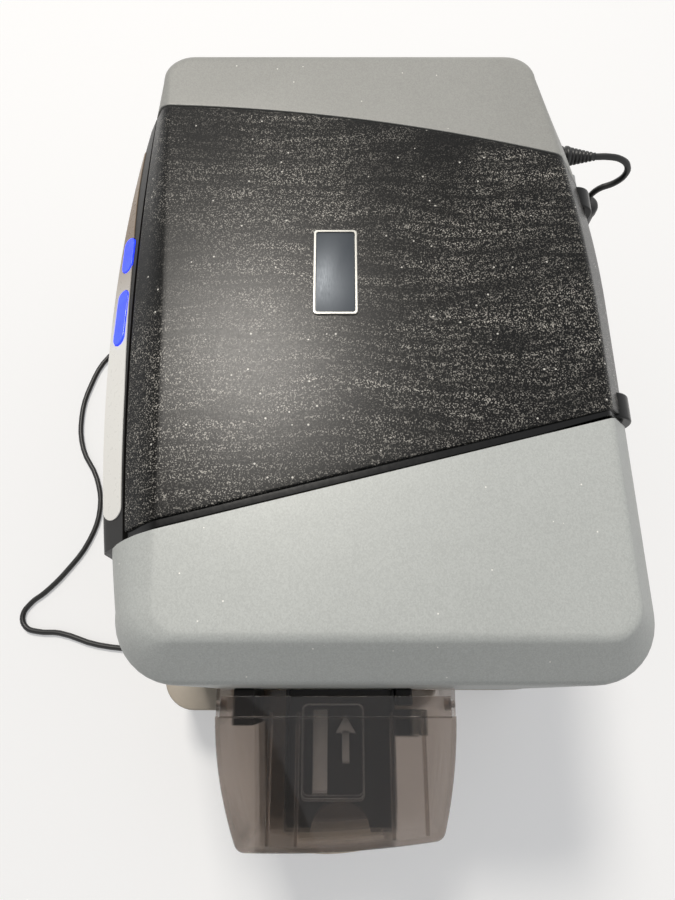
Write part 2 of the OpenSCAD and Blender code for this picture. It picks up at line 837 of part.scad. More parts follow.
motor_s = 35;
motor_l = 30;
motor_shaft_r = 2.5;
motor_bore = 8;
motor_cut = 8;
module drive_motor() {
    color([0.2, 0.2, 0.22]) translate([motor_x, plate_back_y - motor_l, motor_z]) difference() {
        translate([-motor_s / 2, 0, -motor_s / 2]) cube([motor_s, motor_l, motor_s]);
        rod(0, 0, motor_shaft_r + run_gap, motor_bore, motor_l + 1);
        for (a = [-1, 1], b = [-1, 1]) translate([a * motor_s / 2, motor_l / 2, b * motor_s / 2])
            rotate([0, 45, 0]) cube([motor_cut, motor_l - motor_cut, motor_cut], center = true);
    }
}

module motor_pinion() {
    color([0.78, 0.66, 0.35]) {
        gear(motor_x, motor_z, pinion_n, 0, motor_shaft_r - sink);
        rod(motor_x, motor_z, motor_shaft_r, plate_back_y - motor_l + motor_bore + 1, gear_end + shaft_end);
    }
}

guide_t = 3;
guide_gap = 0.6;
guide_z = card_z - guide_gap;
guide_in = 6;
guide_end = 0.4;
guide_clear = 1.5;
guide_deep = 8;
guide_y0 = plate_front_y + plate_t;
guide_w = plate_back_y - guide_y0;
module guide_window(x, half) {
    translate([x - half, path_y - roller_l / 2 - 2, card_z - guide_deep])
        cube([2 * half, roller_l + 4, guide_deep + guide_t]);
}

module card_guide() {
    color([0.3, 0.3, 0.31]) difference() {
        translate([plate_x0 + guide_in, guide_y0, guide_z - guide_t])
            cube([near_x - wall - guide_end - plate_x0 - guide_in, guide_w, guide_t]);
        for (x = [transport_x, platen_x, feed_x]) guide_window(x, roller_r + guide_clear);
        guide_window(clean_x, clean_r - 1);
    }
}

ramp_l = 34;
ramp_t = 2;
ramp_tilt = 8;
ramp_rise = 2;
module exit_ramp() {
    color([0.26, 0.26, 0.27]) translate([near_x - wall - guide_end, guide_y0, out_z + ramp_rise])
        rotate([0, ramp_tilt, 0]) translate([-ramp_l, 0, -ramp_t]) cube([ramp_l, guide_w, ramp_t]);
}

// Ribbon cartridge, its two spools and the film between them
cart_gap = 1;
cart_y0 = guide_y0 + cart_gap;
cart_y1 = plate_back_y - cart_gap;
cart_t = 3;
cart_clear = 0.3;
cart_cut = 9;
cart_foot_h = 9;
cart_foot_l = 12;
cart_post = 16;
cart_post_out = 6;
cart_post_over = 5;
trough_gap = 4;
trough_t = 1.8;
trough_r = flange_r + trough_gap;
guide_rod_r = 2;
guide_rod_x = 18;
guide_rod_rise = 6;
module cartridge_end(y) {
    for (x = [platen_x - spool_half, platen_x + spool_half]) difference() {
        rod(x, spool_z, trough_r, y, y + cart_t);
        rod(x, spool_z, spool_shaft_r + run_gap, y - 1, y + cart_t + 1);
        translate([x - trough_r, y - 1, spool_z + cart_cut]) cube([2 * trough_r, cart_t + 2, trough_r]);
    }
    translate([platen_x - spool_half - cart_foot_l, y, guide_z + cart_clear])
        cube([2 * (spool_half + cart_foot_l), cart_t, cart_foot_h]);
    for (s = [-1, 1]) let (x = platen_x + s * (spool_half + cart_post_out))
        translate([x - cart_post / 2, y, guide_z + cart_clear])
            cube([cart_post, cart_t, spool_z - trough_r + cart_post_over - guide_z]);
}

module ribbon_cartridge() {
    color([0.16, 0.17, 0.19]) {
        cartridge_end(cart_y0);
        cartridge_end(cart_y1 - cart_t);
        for (s = [-1, 1]) let (x = platen_x + s * spool_half) difference() {
            rod(x, spool_z, trough_r, cart_y0 + 1, cart_y1 - 1);
            rod(x, spool_z, trough_r - trough_t, cart_y0, cart_y1);
            translate([x - trough_r - 1, cart_y0, spool_z - cart_cut + 1])
                cube([2 * trough_r + 2, cart_y1 - cart_y0, reach]);
            translate([x + (s > 0 ? -trough_r - 1 : spool_shaft_r), cart_y0, spool_z - reach])
                cube([trough_r + 1 - spool_shaft_r, cart_y1 - cart_y0, 2 * reach]);
        }
        for (s = [-1, 1])
            rod(platen_x + s * guide_rod_x, card_z + guide_rod_rise, guide_rod_r, cart_y0 + 1, cart_y1 - 1);
    }
}

spool_rim_t = 2;
ribbon_y0 = path_y - ribbon_w / 2;
ribbon_y1 = path_y + ribbon_w / 2;
module spool(x, r, back) {
    rod(x, spool_z, spool_shaft_r, cart_y0 - sink, back);
    rod(x, spool_z, r, ribbon_y0, ribbon_y1);
    rod(x, spool_z, flange_r, ribbon_y0 - spool_rim_t, ribbon_y0);
    rod(x, spool_z, flange_r, ribbon_y1, ribbon_y1 + spool_rim_t);
}

module supply_spool() {
    color([0.5, 0.1, 0.35]) spool(platen_x - spool_half, supply_r, plate_back_y + plate_t + shaft_end);
}

module takeup_spool() {
    color([0.75, 0.65, 0.15]) spool(platen_x + spool_half, takeup_r, gear_end + shaft_end);
}

module takeup_gear() {
    color([0.9, 0.88, 0.82]) gear(platen_x + spool_half, spool_z, takeup_n, 0, spool_shaft_r);
}

film_t = 0.3;
film_head = [6, 0.8];
film_rod = [19, 3.2];
film_turn = [20.6, 4.9];
module film_strip(a, b) {
    translate([a[0], ribbon_y0, a[1]]) rotate([0, -atan2(b[1] - a[1], b[0] - a[0]), 0])
        cube([norm(b - a), ribbon_w, film_t]);
}

module ribbon_film() {
    lap = [0.2, 0.1];
    head = [platen_x, card_z] + film_head;
    color([0.45, 0.12, 0.3]) {
        film_strip([platen_x - film_rod[0], card_z + film_rod[1]],
            [platen_x - film_head[0], head[1] + lap[1]]);
        film_strip([platen_x - film_head[0] - lap[0], head[1]], [head[0] + lap[0], head[1]]);
        film_strip([head[0], head[1] + lap[1]], [platen_x, card_z] + film_rod);
        film_strip([platen_x - spool_half + cart_t, spool_z - supply_r - film_t],
            [platen_x - film_turn[0], card_z + film_turn[1]]);
        film_strip([platen_x, card_z] + film_turn,
            [platen_x + spool_half - cart_t, spool_z - takeup_r - film_t]);
    }
}

ribbon_motor_x = platen_x + spool_half + pitch_r(takeup_n) + pitch_r(ribbon_n);
can_r = 13;
can_l = 26;
can_rim = 1;
can_plate = 1.5;
can_shaft_r = 1.5;
can_bore = 20;
can_y = gear_end + gear_gap;
can_post_r = 2;
module ribbon_motor() {
    post = can_r - can_post_r;
    color([0.6, 0.61, 0.63]) translate([ribbon_motor_x, 0, spool_z]) {
        difference() {
            union() {
                rod(0, 0, can_r, can_y + can_plate - rim_lap, can_y + can_plate + can_l);
                translate([-can_r - can_rim, can_y, -can_r - can_rim])
                    cube([2 * (can_r + can_rim), can_plate, 2 * (can_r + can_rim)]);
            }
            rod(0, 0, can_shaft_r + run_gap, can_y - 1, can_y + can_bore);
        }
        for (z = [-post, post]) rod(post, z, can_post_r, plate_back_y + plate_t, can_y + rim_lap);
    }
}

module ribbon_pinion() {
    color([0.78, 0.66, 0.35]) {
        gear(ribbon_motor_x, spool_z, ribbon_n, 180 / ribbon_n, can_shaft_r - sink);
        rod(ribbon_motor_x, spool_z, can_shaft_r, gear_y + sink, can_y + can_bore - 7);
    }
}

// Board, sockets and fan at the back
board_y = 85;
board_x0 = -192;
board_x1 = -96;
board_rise = 14;
board_z0 = base_top + board_rise;
board_z1 = rear_top - 1;
board_face = board_y + board_t;
chip = [16, 2, 16];
chip_at = [16, 30];
chip_pitch = 26;
capacitor = [4, 11];
cap_at = [20, 70];
cap_pitch = 9;
module main_board() {
    color([0.08, 0.3, 0.16]) {
        translate([board_x0, board_y, board_z0]) cube([board_x1 - board_x0, board_t, board_z1 - board_z0]);
        for (i = [0 : 2])
            translate([board_x0 + chip_at[0] + chip_pitch * i, board_face, board_z0 + chip_at[1]])
            cube(chip);
        for (i = [0 : 3]) rod(board_x0 + cap_at[0] + cap_pitch * i, board_z0 + cap_at[1], capacitor[0],
            board_face, board_face + capacitor[1]);
    }
}

sheet_t = 1.5;
stand_r = 3;
stand_in = 5;
stand_l = 4.5;
board_foot = [14, 17];
module board_plate() {
    y = board_y - stand_l - sheet_t;
    color([0.64, 0.65, 0.66]) {
        translate([board_x0, y, floor_z]) cube([board_x1 - board_x0, sheet_t, board_z1 - floor_z]);
        translate([board_x0 + board_foot[0], y + 1 - board_foot[1], floor_z])
            cube([board_x1 - board_x0 - board_foot[0], board_foot[1], sheet_t]);
        for (x = [board_x0 + stand_in, board_x1 - stand_in], z = [board_z0 + stand_in, board_z1 - stand_in])
            rod(x, z, stand_r, y + sheet_t - rim_lap, board_y);
    }
}

jack_gap = 0.4;
jack_face = back_out(jack_x) - jack_gap;
jack_body = [12, 9];
jack_bore = [2.9, 8];
module power_socket() {
    color([0.08, 0.08, 0.08]) difference() {
        union() {
            translate([jack_x - jack_body[0] / 2, board_face, jack_z - jack_body[0] / 2])
                cube([jack_body[0], jack_body[1], jack_body[0]]);
            rod(jack_x, jack_z, jack_r - jack_gap, board_face, jack_face);
        }
        rod(jack_x, jack_z, jack_bore[0], jack_face - jack_bore[1], jack_face + 1);
    }
}

usb_in = 0.6;
usb_t = 1;
usb_deep = 12;
usb_face = back_out(usb_x) - usb_in;
module usb_port() {
    color([0.75, 0.76, 0.77]) difference() {
        translate([usb_x - usb_w / 2, board_face, jack_z - usb_h / 2])
            cube([usb_w, usb_face - board_face, usb_h]);
        translate([usb_x - usb_w / 2 + usb_t, usb_face - usb_deep, jack_z - usb_h / 2 + usb_t])
            cube([usb_w - 2 * usb_t, usb_deep + 1, usb_h - 2 * usb_t]);
    }
}

hub_r = 12;
hub_plate = 2;
fan_arm = 4;
fan_shaft_r = 1.5;
fan_hole_r = 1.9;
fan_hole_in = 4;
module fan_housing() {
    color([0.12, 0.12, 0.13]) translate([fan_x, fan_y, fan_z]) rotate([-90, 0, 0]) difference() {
        translate([-fan_s / 2, -fan_s / 2, 0]) cube([fan_s, fan_s, fan_t]);
        difference() {
            translate([0, 0, -1]) cylinder(r = fan_r, h = fan_t + 2);
            cylinder(r = hub_r, h = hub_plate);
            for (a = [45, 135]) rotate(a) translate([-fan_r - 1, -fan_arm / 2, 0])
                cube([2 * fan_r + 2, fan_arm, hub_plate]);
        }
        translate([0, 0, -1]) cylinder(r = fan_shaft_r + run_gap, h = hub_plate + 2);
        for (a = [0 : 90 : 270]) rotate(a) translate([fan_s / 2 - fan_hole_in, fan_s / 2 - fan_hole_in, -1])
            cylinder(r = fan_hole_r, h = fan_t + 2);
    }
}

blade_n = 7;
blade_gap = 0.6;
blade = [10, 1.2];
blade_tilt = 38;
fan_shaft = [0.4, 5];
module fan_rotor() {
    color([0.18, 0.18, 0.19]) translate([fan_x, fan_y, fan_z]) rotate([-90, 0, 0]) {
        translate([0, 0, fan_shaft[0]]) cylinder(r = fan_shaft_r, h = fan_shaft[1]);
        translate([0, 0, hub_plate + blade_gap]) cylinder(r = hub_r, h = fan_t - 2 * hub_plate);
        for (i = [0 : blade_n - 1]) rotate(i * 360 / blade_n)
            translate([hub_r - 1, 0, fan_t / 2 + blade_gap]) rotate([blade_tilt, 0, 0])
            translate([0, -blade[0] / 2, -blade[1] / 2])
            cube([fan_r - hub_r - blade_gap, blade[0], blade[1]]);
    }
}

// Hopper: plan outline of the smoked box and its door, inset by d, from x outwards
hop_side = [66.5, 61.5];
hop_y0 = path_y - hop_side[0];
hop_y1 = path_y + hop_side[1];
hop_in = [15, 10];
hop_curve = 2.2;
hop_corner = 4;
side_steps = 8;
end_steps = 6;
corner_steps = 4;
door_t = 2.4;
door_gap = 0.4;
shell_top = hopper_top - door_t - door_gap;
hop_x0 = near_x + hopper_l;
hop_x1 = hop_x0 - end_skew;
function hop_front(x) = hop_y0 + hop_in[0] * pow(max(0, (x - near_x) / hopper_l), hop_curve);
function hop_back(x) = hop_y1 - hop_in[1] * pow(max(0, (x - near_x) / (hopper_l - end_skew)), hop_curve);
hop_end_y = [hop_front(hop_x0), hop_back(hop_x1)];
function hop_end(y) =
    let (t = (y - hop_end_y[0]) / (hop_end_y[1] - hop_end_y[0]))
    mix(hop_x0, hop_x1, t) + 4 * end_bow * t * (1 - t);
function bend(a, b, c) = [for (i = [0 : corner_steps]) let (t = i / corner_steps)
    (1 - t) * (1 - t) * a + 2 * t * (1 - t) * b + t * t * c];
function hopper_plan(x, d) =
    let (
        x0 = hop_x0 - d,
        x1 = hop_x1 - d,
        y0 = hop_end_y[0] + d,
        y1 = hop_end_y[1] - d,
        r = hop_corner
    )
    concat(
        [for (i = [0 : side_steps - 1]) let (s = mix(x, x0 - r, i / side_steps)) [s, hop_front(s) + d]],
        bend([x0 - r, hop_front(x0 - r) + d], [x0, y0], [hop_end(y0 + r) - d, y0 + r]),
        [for (i = [1 : end_steps - 1]) let (y = mix(y0 + r, y1 - r, i / end_steps)) [hop_end(y) - d, y]],
        bend([hop_end(y1 - r) - d, y1 - r], [x1, y1], [x1 - r, hop_back(x1 - r) - d]),
        [for (i = [side_steps - 1 : -1 : 0]) let (s = mix(x, x1 - r, i / side_steps)) [s, hop_back(s) - d]]
    );

mouth_w = 46;
mouth_back = 50;
mouth_sill = 6;
mouth_over = 4;
mouth_x = near_x + mouth_back;
mouth_z = hopper_low + mouth_sill;
mouth_top = card_z + mouth_over;
module hopper_shell() {
    color([0.42, 0.36, 0.32, 0.6]) difference() {
        translate([0, 0, hopper_low]) linear_extrude(shell_top - hopper_low) polygon(hopper_plan(near_x, 0));
        translate([0, 0, hopper_low + hopper_wall]) linear_extrude(reach)
            polygon(hopper_plan(near_x - 1, hopper_wall));
        translate([mouth_x, path_y - mouth_w / 2, mouth_z]) cube([hopper_l, mouth_w, mouth_top - mouth_z]);
        rod(door_hinge_x, door_hinge_z, door_pin_r + run_gap, hop_y0 - 1, hop_y1 + 1);
    }
}

door_hinge_in = 8;
door_hinge_drop = 5.5;
door_hinge_x = near_x + door_hinge_in;
door_hinge_z = hopper_top - door_hinge_drop;
door_pin_r = 1.8;
door_front = 6;
door_tail = 4;
door_ribs = [-37, -22.5, 27, 44];
rib_t = 1.8;
rib_h = 5;
rib_gap = 0.6;
lug_gap = 0.5;
lug_r = 3.2;
lug_t = 3;
lug_in = hopper_wall + lug_gap;
module door_lug(y, side) {
    inner = y + side * lug_t;
    pin = y - side * (lug_in - sink);
    rod(door_hinge_x, door_hinge_z, lug_r, min(y, inner), max(y, inner));
    rod(door_hinge_x, door_hinge_z, door_pin_r, min(y, pin), max(y, pin));
    translate([door_hinge_x - lug_r / 2, min(y, inner), door_hinge_z])
        cube([lug_r, lug_t, hopper_top - door_hinge_z - sink]);
}

module hopper_door() {
    low = hopper_top - door_t;
    color([0.45, 0.38, 0.34, 0.55]) {
        translate([0, 0, low]) linear_extrude(door_t) polygon(hopper_plan(door_hinge_x + door_front, 0));
        translate([door_hinge_x - door_tail, hop_y0 + lug_in, low])
            cube([door_tail + door_front + 1, hop_y1 - hop_y0 - 2 * lug_in, door_t]);
        for (y = door_ribs) translate([door_hinge_x + door_tail, path_y + y - rib_t / 2, low - rib_h])
            cube([hop_end(path_y + y) - hopper_wall - rib_gap - door_hinge_x - door_tail, rib_t,
                rib_h + sink]);
        door_lug(hop_y0 + lug_in, 1);
        door_lug(hop_y1 - lug_in, -1);
    }
}

post_drop = 8;
post_front = [19, 12];
post_back = [9, 9];
post_in = 8;
post_gap = 0.4;
module hopper_posts() {
    z = hopper_low + hopper_wall;
    h = shell_top - z - post_drop;
    color([0.1, 0.1, 0.1]) {
        translate([near_x, hop_y0 + post_in, z]) cube([post_front[0], post_front[1], h]);
        translate([near_x, tray_y1 + post_gap, z]) cube([post_back[0], post_back[1], h]);
    }
}

// Card tray: the black platform that lifts the cards, with its loading lever
tray_t = 3;
tray_gap = 0.6;
tray_back = 0.4;
tray_lip_h = 5;
tray_lip_t = 1.6;
tray_lip_in = 10;
notch_out = 1;
tray_y0 = path_y - tray_w / 2;
tray_y1 = path_y + tray_w / 2;
tray_x0 = near_x + tray_back;
tray_end = hop_end(tray_y1) - hopper_wall - tray_gap;
ear = [14, 14];
ear_x = near_x + 11;
module card_tray() {
    z = card_z - tray_t;
    color([0.08, 0.08, 0.08]) difference() {
        union() {
            translate([tray_x0, tray_y0, z]) cube([tray_end - tray_x0, tray_w, tray_t]);
            for (y = [tray_y0, tray_y1 - tray_lip_t]) translate([tray_x0, y, z])
                cube([tray_end - tray_x0 - tray_lip_in, tray_lip_t, tray_t + tray_lip_h]);
            translate([ear_x, tray_y1 - 1, z]) cube([ear[0], ear[1], tray_t]);
        }
        translate([tray_end + notch_out, path_y, z - 1]) cylinder(r = notch_r, h = tray_t + 2);
    }
}

lever = [13, 4, 12];
lever_grip = [8, 4];
module load_lever() {
    color([0.72, 0.72, 0.7]) translate([ear_x, tray_y1 - 1 + ear[1], card_z - tray_t]) {
        cube([lever[0], lever[1], tray_t + lever[2]]);
        translate([0, -lever_grip[0] / 2, tray_t + lever[2] - lever_grip[1]])
            cube([lever[0], lever_grip[0], lever_grip[1]]);
    }
}

lip_h = 8;
lip_in = 16;
lip_w = 84;
lip_t = 2.5;
lip_corner = 4;
lip_bow = 5;
lip_solid = 9;
lip_steps = 8;
module output_lip() {
    color([0.83, 0.79, 0.72]) translate([near_x, hop_y0 + lip_in, hopper_low - lip_h]) difference() {
        linear_extrude(lip_h) polygon(concat([[0, 0], [0, lip_w]], [for (i = [0 : lip_steps])
            let (t = i / lip_steps)
            [lip_l + lip_bow * (sin(180 * t) - 1), mix(lip_w - lip_corner, lip_corner, t)]]));
        translate([-1, lip_t + sink, lip_t])
            cube([lip_l - lip_solid, lip_w - 2 * (lip_t + sink), lip_h - 4]);
    }
}

// Base tray and its feet
base_out = 3;
base_wall = 3;
base_corner = 20;
base_steps = 8;
base_past = 2;
base_step = 5;
base_lid = 4;
slit = [4, 40];
slit_n = 13;
slit_pitch = 10;
slit_x = -120;
slit_y = 30;
function base_front(x) = -front_y - base_out + (x < bow_x ? bow * pow(x - bow_x, 2) : 0);
module base_area(d) {
    offset(r = base_corner - d, $fn = 32) offset(delta = -base_corner) polygon(concat(
        [[near_x + apron, -front_y - base_out], [near_x + apron, hop_y1 + base_past],
            [near_x, hop_y1 + base_past]],
        [for (i = [0 : base_steps]) let (x = mix(near_x, -far_x, i / base_steps)) [x, back_out(x)]],
        [for (i = [0 : base_steps]) let (x = mix(-far_x, near_x, i / base_steps)) [x, base_front(x)]]));
}

module base_tray() {
    color([0.8, 0.77, 0.72]) difference() {
        translate([0, 0, foot_h]) linear_extrude(base_top - foot_h) base_area(0);
        translate([0, 0, floor_z]) linear_extrude(base_top - floor_z - base_wall) base_area(base_wall);
        translate([0, 0, base_top - base_lid]) linear_extrude(base_lid + 1) intersection() {
            base_area(base_wall);
            polygon(ring(0, 0, base_step, 0));
        }
        for (i = [0 : slit_n - 1]) translate([slit_x + slit_pitch * i, slit_y, foot_h - 1])
            cube([slit[0], slit[1], floor_t + 2]);
    }
}

foot_places = [[-193, -86], [-193, 76], [106, -102], [104, 98]];
module feet() {
    color([0.07, 0.07, 0.07]) for (p = foot_places) translate(p) cylinder(r = foot_r, h = foot_h);
}

// Screws that hold the rear panel to the base and the fan to the panel
screw_rise = 10;
screw_drop = 16;
screw_r = 3.2;
screw_h = 1.4;
screw_slot = [4.4, 0.8, 0.7];
screw_places = [[-40, base_top + screw_rise], [8, base_top + screw_rise], [84, base_top + screw_rise],
    [84, rear_top - screw_drop]];
module casing_screws() {
    color([0.3, 0.3, 0.31]) for (p = screw_places) difference() {
        rod(p[0], p[1], screw_r, back_y, back_y + screw_h);
        for (a = [0, 90]) translate([p[0], back_y + screw_h - screw_slot[2], p[1]]) rotate([0, a, 0])
            translate([-screw_slot[0] / 2, 0, -screw_slot[1] / 2]) cube([screw_slot[0], 1, screw_slot[1]]);
    }
}

// Power lead: plug, loop, ferrite, run under the printer and adapter
lead_r = 2;
plug_y0 = jack_face;
plug_y1 = 146.5;
ferrite_top = 150;
ferrite_l = 30;
ferrite_xy = [-181.5, 155.5];
loop_points = [
    [-182.5, 146.5, 190], [-182.5, 155.5, 190], [-182.3, 163.5, 188.2], [-182, 169.6, 183.1],
    [-181.8, 171.2, 175.3], [-181.6, 167, 168.3], [-181.5, 159, 163.1], [-181.5, 155.5, 156.6],
    [-181.5, 155.5, 150]
];
run_points = [
    [-181.5, 155.5, 120], [-181.5, 155.5, 80], [-181.4, 153, 44], [-181, 145, 18], [-180.4, 131, 5.6],
    [-179.8, 117, 3], [-179, 100, 2.5], [-176, 20, 2.2], [-174, -115, 2.2], [-165, -180, 2.2],
    [-143, -209.5, 2.2], [-115, -222, 2.2], [-86, -226, 2.2], [-58, -221, 2.2], [-33, -207, 2.2],
    [-8, -201.3, 2.2], [18, -206.5, 2.2], [42.9, -221.8, 2.2], [58, -235.2, 2.2], [66.1, -244.7, 2.2],
    [75.2, -249.4, 2.2], [83.7, -245.6, 2.2], [86.8, -236.5, 2.2], [87.9, -220, 2.2], [96.5, -190, 2.2],
    [98.6, -155, 2.2], [87, -100, 2.2], [62, 92, 3], [50, 138, 4], [28, 159, 14], [8, 159, 14]
];

// Smooth curve through the points: each stretch has handles along the mean of its neighbours
handle = 1 / 2.56;
function unit(v) = v / norm(v);
function way(p, i) = i == 0 ? unit(p[1] - p[0]) : i == len(p) - 1 ? unit(p[i] - p[i - 1])
    : unit(unit(p[i + 1] - p[i]) + unit(p[i] - p[i - 1]));
function blend(a, b, c, d, t) =
    pow(1 - t, 3) * a + 3 * t * pow(1 - t, 2) * b + 3 * t * t * (1 - t) * c + t * t * t * d;
function smooth(p, n) = concat([for (i = [0 : len(p) - 2])
    let (l = handle * norm(p[i + 1] - p[i]))
    for (k = [0 : n - 1]) blend(p[i], p[i] + l * way(p, i), p[i + 1] - l * way(p, i + 1), p[i + 1], k / n)],
    [p[len(p) - 1]]);
function carried(v, t) = unit(v - (v * t) * t);
function normals(p, i, v) = i == len(p) ? []
    : let (w = carried(v, way(p, i))) concat([w], normals(p, i + 1, w));
module tube(p, r, sides, start) {
    nrm = normals(p, 0, start);
    n = len(p);
    points = [for (i = [0 : n - 1]) let (t = way(p, i), u = nrm[i], v = cross(t, u))
        for (k = [0 : sides - 1]) let (a = 360 * (k + 0.5) / sides) p[i] + r * (cos(a) * u + sin(a) * v)];
    faces = [for (i = [0 : n - 2]) for (k = [0 : sides - 1])
        let (a = i * sides + k, b = i * sides + (k + 1) % sides)
        each [[a, b, a + sides], [b, b + sides, a + sides]]];
    polyhedron(points, concat(faces, [[for (k = [sides - 1 : -1 : 0]) k]],
        [[for (k = [0 : sides - 1]) (n - 1) * sides + k]]), convexity = 10);
}

// Profile of the plug and its ribbed sleeve: [step in from the radius, distance from the socket]
plug_steps = [[1, 0], [0, 1.2], [0, 20], [1.2, 21.5], [0, 23], [0, 26], [1.4, 27.5], [0.4, 29], [0.6, 32],
    [1.8, 33.5], [1.2, 35], [1.8, 38]];
module power_plug() {
    plug_l = plug_y1 - plug_y0;
    color([0.05, 0.05, 0.05]) translate([jack_x, plug_y0, jack_z]) rotate([-90, 0, 0]) rotate_extrude()
        polygon(concat([[0, 0]], [for (s = plug_steps) [plug_r - s[0], s[1]]],
            [[lead_r + 1, plug_l], [0, plug_l]]));
}

module lead_loop() {
    color([0.05, 0.05, 0.05]) tube(smooth(loop_points, 4), lead_r, 8, [0, 0, 1]);
}

ferrite_edge = 2;
module ferrite() {
    in = ferrite_r - ferrite_edge;
    color([0.06, 0.06, 0.06]) translate([ferrite_xy[0], ferrite_xy[1], ferrite_top - ferrite_l])
        rotate_extrude() polygon([[0, 0], [in, 0], [ferrite_r, ferrite_edge],
            [ferrite_r, ferrite_l - ferrite_edge], [in, ferrite_l], [0, ferrite_l]]);
}

module lead_run() {
    color([0.05, 0.05, 0.05]) tube(smooth(run_points, 4), lead_r, 8, [1, 0, 0]);
}

adapter = [96, 46, 30];
adapter_x = -102;
adapter_y = 136;
neck = [5, 14];
neck_z = 14;
inlet = [16, 24, 16];
module power_adapter() {
    color([0.06, 0.06, 0.06]) translate([adapter_x, adapter_y, 0]) difference() {
        union() {
            cube(adapter);
            translate([adapter[0] - rim_lap, adapter[1] / 2, neck_z]) rotate([0, 90, 0])
                cylinder(r1 = neck[0], r2 = lead_r + 1, h = neck[1] + rim_lap);
        }
        translate([-1, (adapter[1] - inlet[1]) / 2, (adapter[2] - inlet[2]) / 2])
            cube([inlet[0] + 1, inlet[1], inlet[2]]);
    }
}

base_tray();
feet();
end_casing_near();
end_casing_far();
front_panel();
rear_panel();
top_cover();
badge_plate();
hinge_pins();
cover_frame();
light_strip();
pause_button();
power_button();
button_board();
chassis_front();
chassis_back();
card_guide();
exit_ramp();
shaft_bushes();
platen_roller();
platen_gear();
feed_roller();
feed_gear();
transport_roller();
transport_gear();
cleaning_roller();
idler_gear_near();
idler_gear_far();
idler_pins();
drive_motor();
motor_pinion();
ribbon_cartridge();
supply_spool();
takeup_spool();
takeup_gear();
ribbon_film();
ribbon_motor();
ribbon_pinion();
head_bracket();
head_carrier();
print_head();
heat_sink();
main_board();
board_plate();
power_socket();
usb_port();
fan_housing();
fan_rotor();
hopper_shell();
hopper_door();
hopper_posts();
card_tray();
load_lever();
output_lip();
casing_screws();
power_plug();
lead_loop();
ferrite();
lead_run();
power_adapter();
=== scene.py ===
"""Looks of the id card printer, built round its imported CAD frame."""
from __future__ import annotations

import json
import logging
import math
from dataclasses import dataclass
from enum import Enum
from typing import Any, Callable, Sequence

import bmesh
import bpy
from mathutils import Matrix, Vector

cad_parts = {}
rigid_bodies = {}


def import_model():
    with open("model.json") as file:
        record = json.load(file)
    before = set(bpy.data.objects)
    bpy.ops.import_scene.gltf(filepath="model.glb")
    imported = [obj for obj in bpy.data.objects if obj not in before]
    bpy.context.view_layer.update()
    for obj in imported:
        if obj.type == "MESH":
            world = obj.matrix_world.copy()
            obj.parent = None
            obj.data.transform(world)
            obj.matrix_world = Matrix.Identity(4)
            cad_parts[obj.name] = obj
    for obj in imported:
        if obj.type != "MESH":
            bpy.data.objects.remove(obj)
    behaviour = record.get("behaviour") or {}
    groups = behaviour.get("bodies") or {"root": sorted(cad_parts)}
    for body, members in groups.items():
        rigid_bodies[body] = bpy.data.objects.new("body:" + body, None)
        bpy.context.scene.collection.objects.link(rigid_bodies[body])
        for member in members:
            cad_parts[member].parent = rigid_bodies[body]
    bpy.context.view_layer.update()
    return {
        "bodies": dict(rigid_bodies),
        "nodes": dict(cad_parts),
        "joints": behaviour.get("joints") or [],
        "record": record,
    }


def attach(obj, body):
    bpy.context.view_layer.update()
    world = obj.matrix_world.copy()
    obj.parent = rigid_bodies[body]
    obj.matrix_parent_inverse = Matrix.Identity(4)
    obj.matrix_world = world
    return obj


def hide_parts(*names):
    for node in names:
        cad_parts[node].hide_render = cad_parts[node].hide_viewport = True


LOG = logging.getLogger("card_printer")
MM = 0.001
SAME_SPOT = 1e-4
SETTLE_STEPS = 8
UP = Vector((0, 0, 1))
FRONT = Vector((0, -1, 0))
WHITE = (1.0, 1.0, 1.0, 1.0)

Mesh = bmesh.types.BMesh
Object = bpy.types.Object
Node = bpy.types.Node
Tree = bpy.types.NodeTree
Socket = bpy.types.NodeSocket
Pair = tuple[float, float]
Triple = tuple[float, float, float]
Row = list[Vector]
Path = Callable[[float], float]
Line = tuple[Path, float]


# Numbers

def mix(a: float, b: float, t: float) -> float:
    """Value between a and b at share t."""
    return a + (b - a) * t


def steps(a: float, b: float, count: int) -> list[float]:
    """Evenly spaced values from a to b, count of them."""
    return [mix(a, b, i / (count - 1)) for i in range(count)]


def bend(a: float | Vector, tip: float | Vector, b: float | Vector, t: float) -> float | Vector:
    """Place at share t of a bend from a to b that rounds off the tip between them."""
    return a * (1 - t) ** 2 + tip * (2 * t * (1 - t)) + b * t * t


def along(table: Sequence[Pair], t: float) -> float:
    """Read a value off a table of straight stretches.

    Args:
        table: Pairs of place and value, in rising order of place.
        t: Place to read.

    Returns:
        The value at that place.
    """
    for (t0, v0), (t1, v1) in zip(table, table[1:]):
        if t <= t1:
            return mix(v0, v1, (t - t0) / (t1 - t0))
    return table[-1][1]


def arc(x: float, y: float, radius: float, start: float, end: float, count: int = 10) -> list[Pair]:
    """Points on a circle, both ends with them.

    Args:
        x: X of the circle's middle.
        y: Y of the circle's middle.
        radius: Its radius.
        start: Angle of the first point, in degrees.
        end: Angle of the last point.
        count: Steps between the two.

    Returns:
        The points.
    """
    turns = [math.radians(a) for a in steps(start, end, count + 1)]
    return [(x + radius * math.cos(a), y + radius * math.sin(a)) for a in turns]


# Finishes

def linear(colour: str) -> tuple[float, float, float, float]:
    """Turn an sRGB hex colour to the linear values that a shader takes.

    Args:
        colour: Six hex digits.

    Returns:
        Red, green, blue and a full alpha.
    """
    values = [int(colour[i:i + 2], 16) / 255 for i in (0, 2, 4)]
    r, g, b = (v / 12.92 if v <= 0.04045 else ((v + 0.055) / 1.055) ** 2.4 for v in values)
    return r, g, b, 1.0


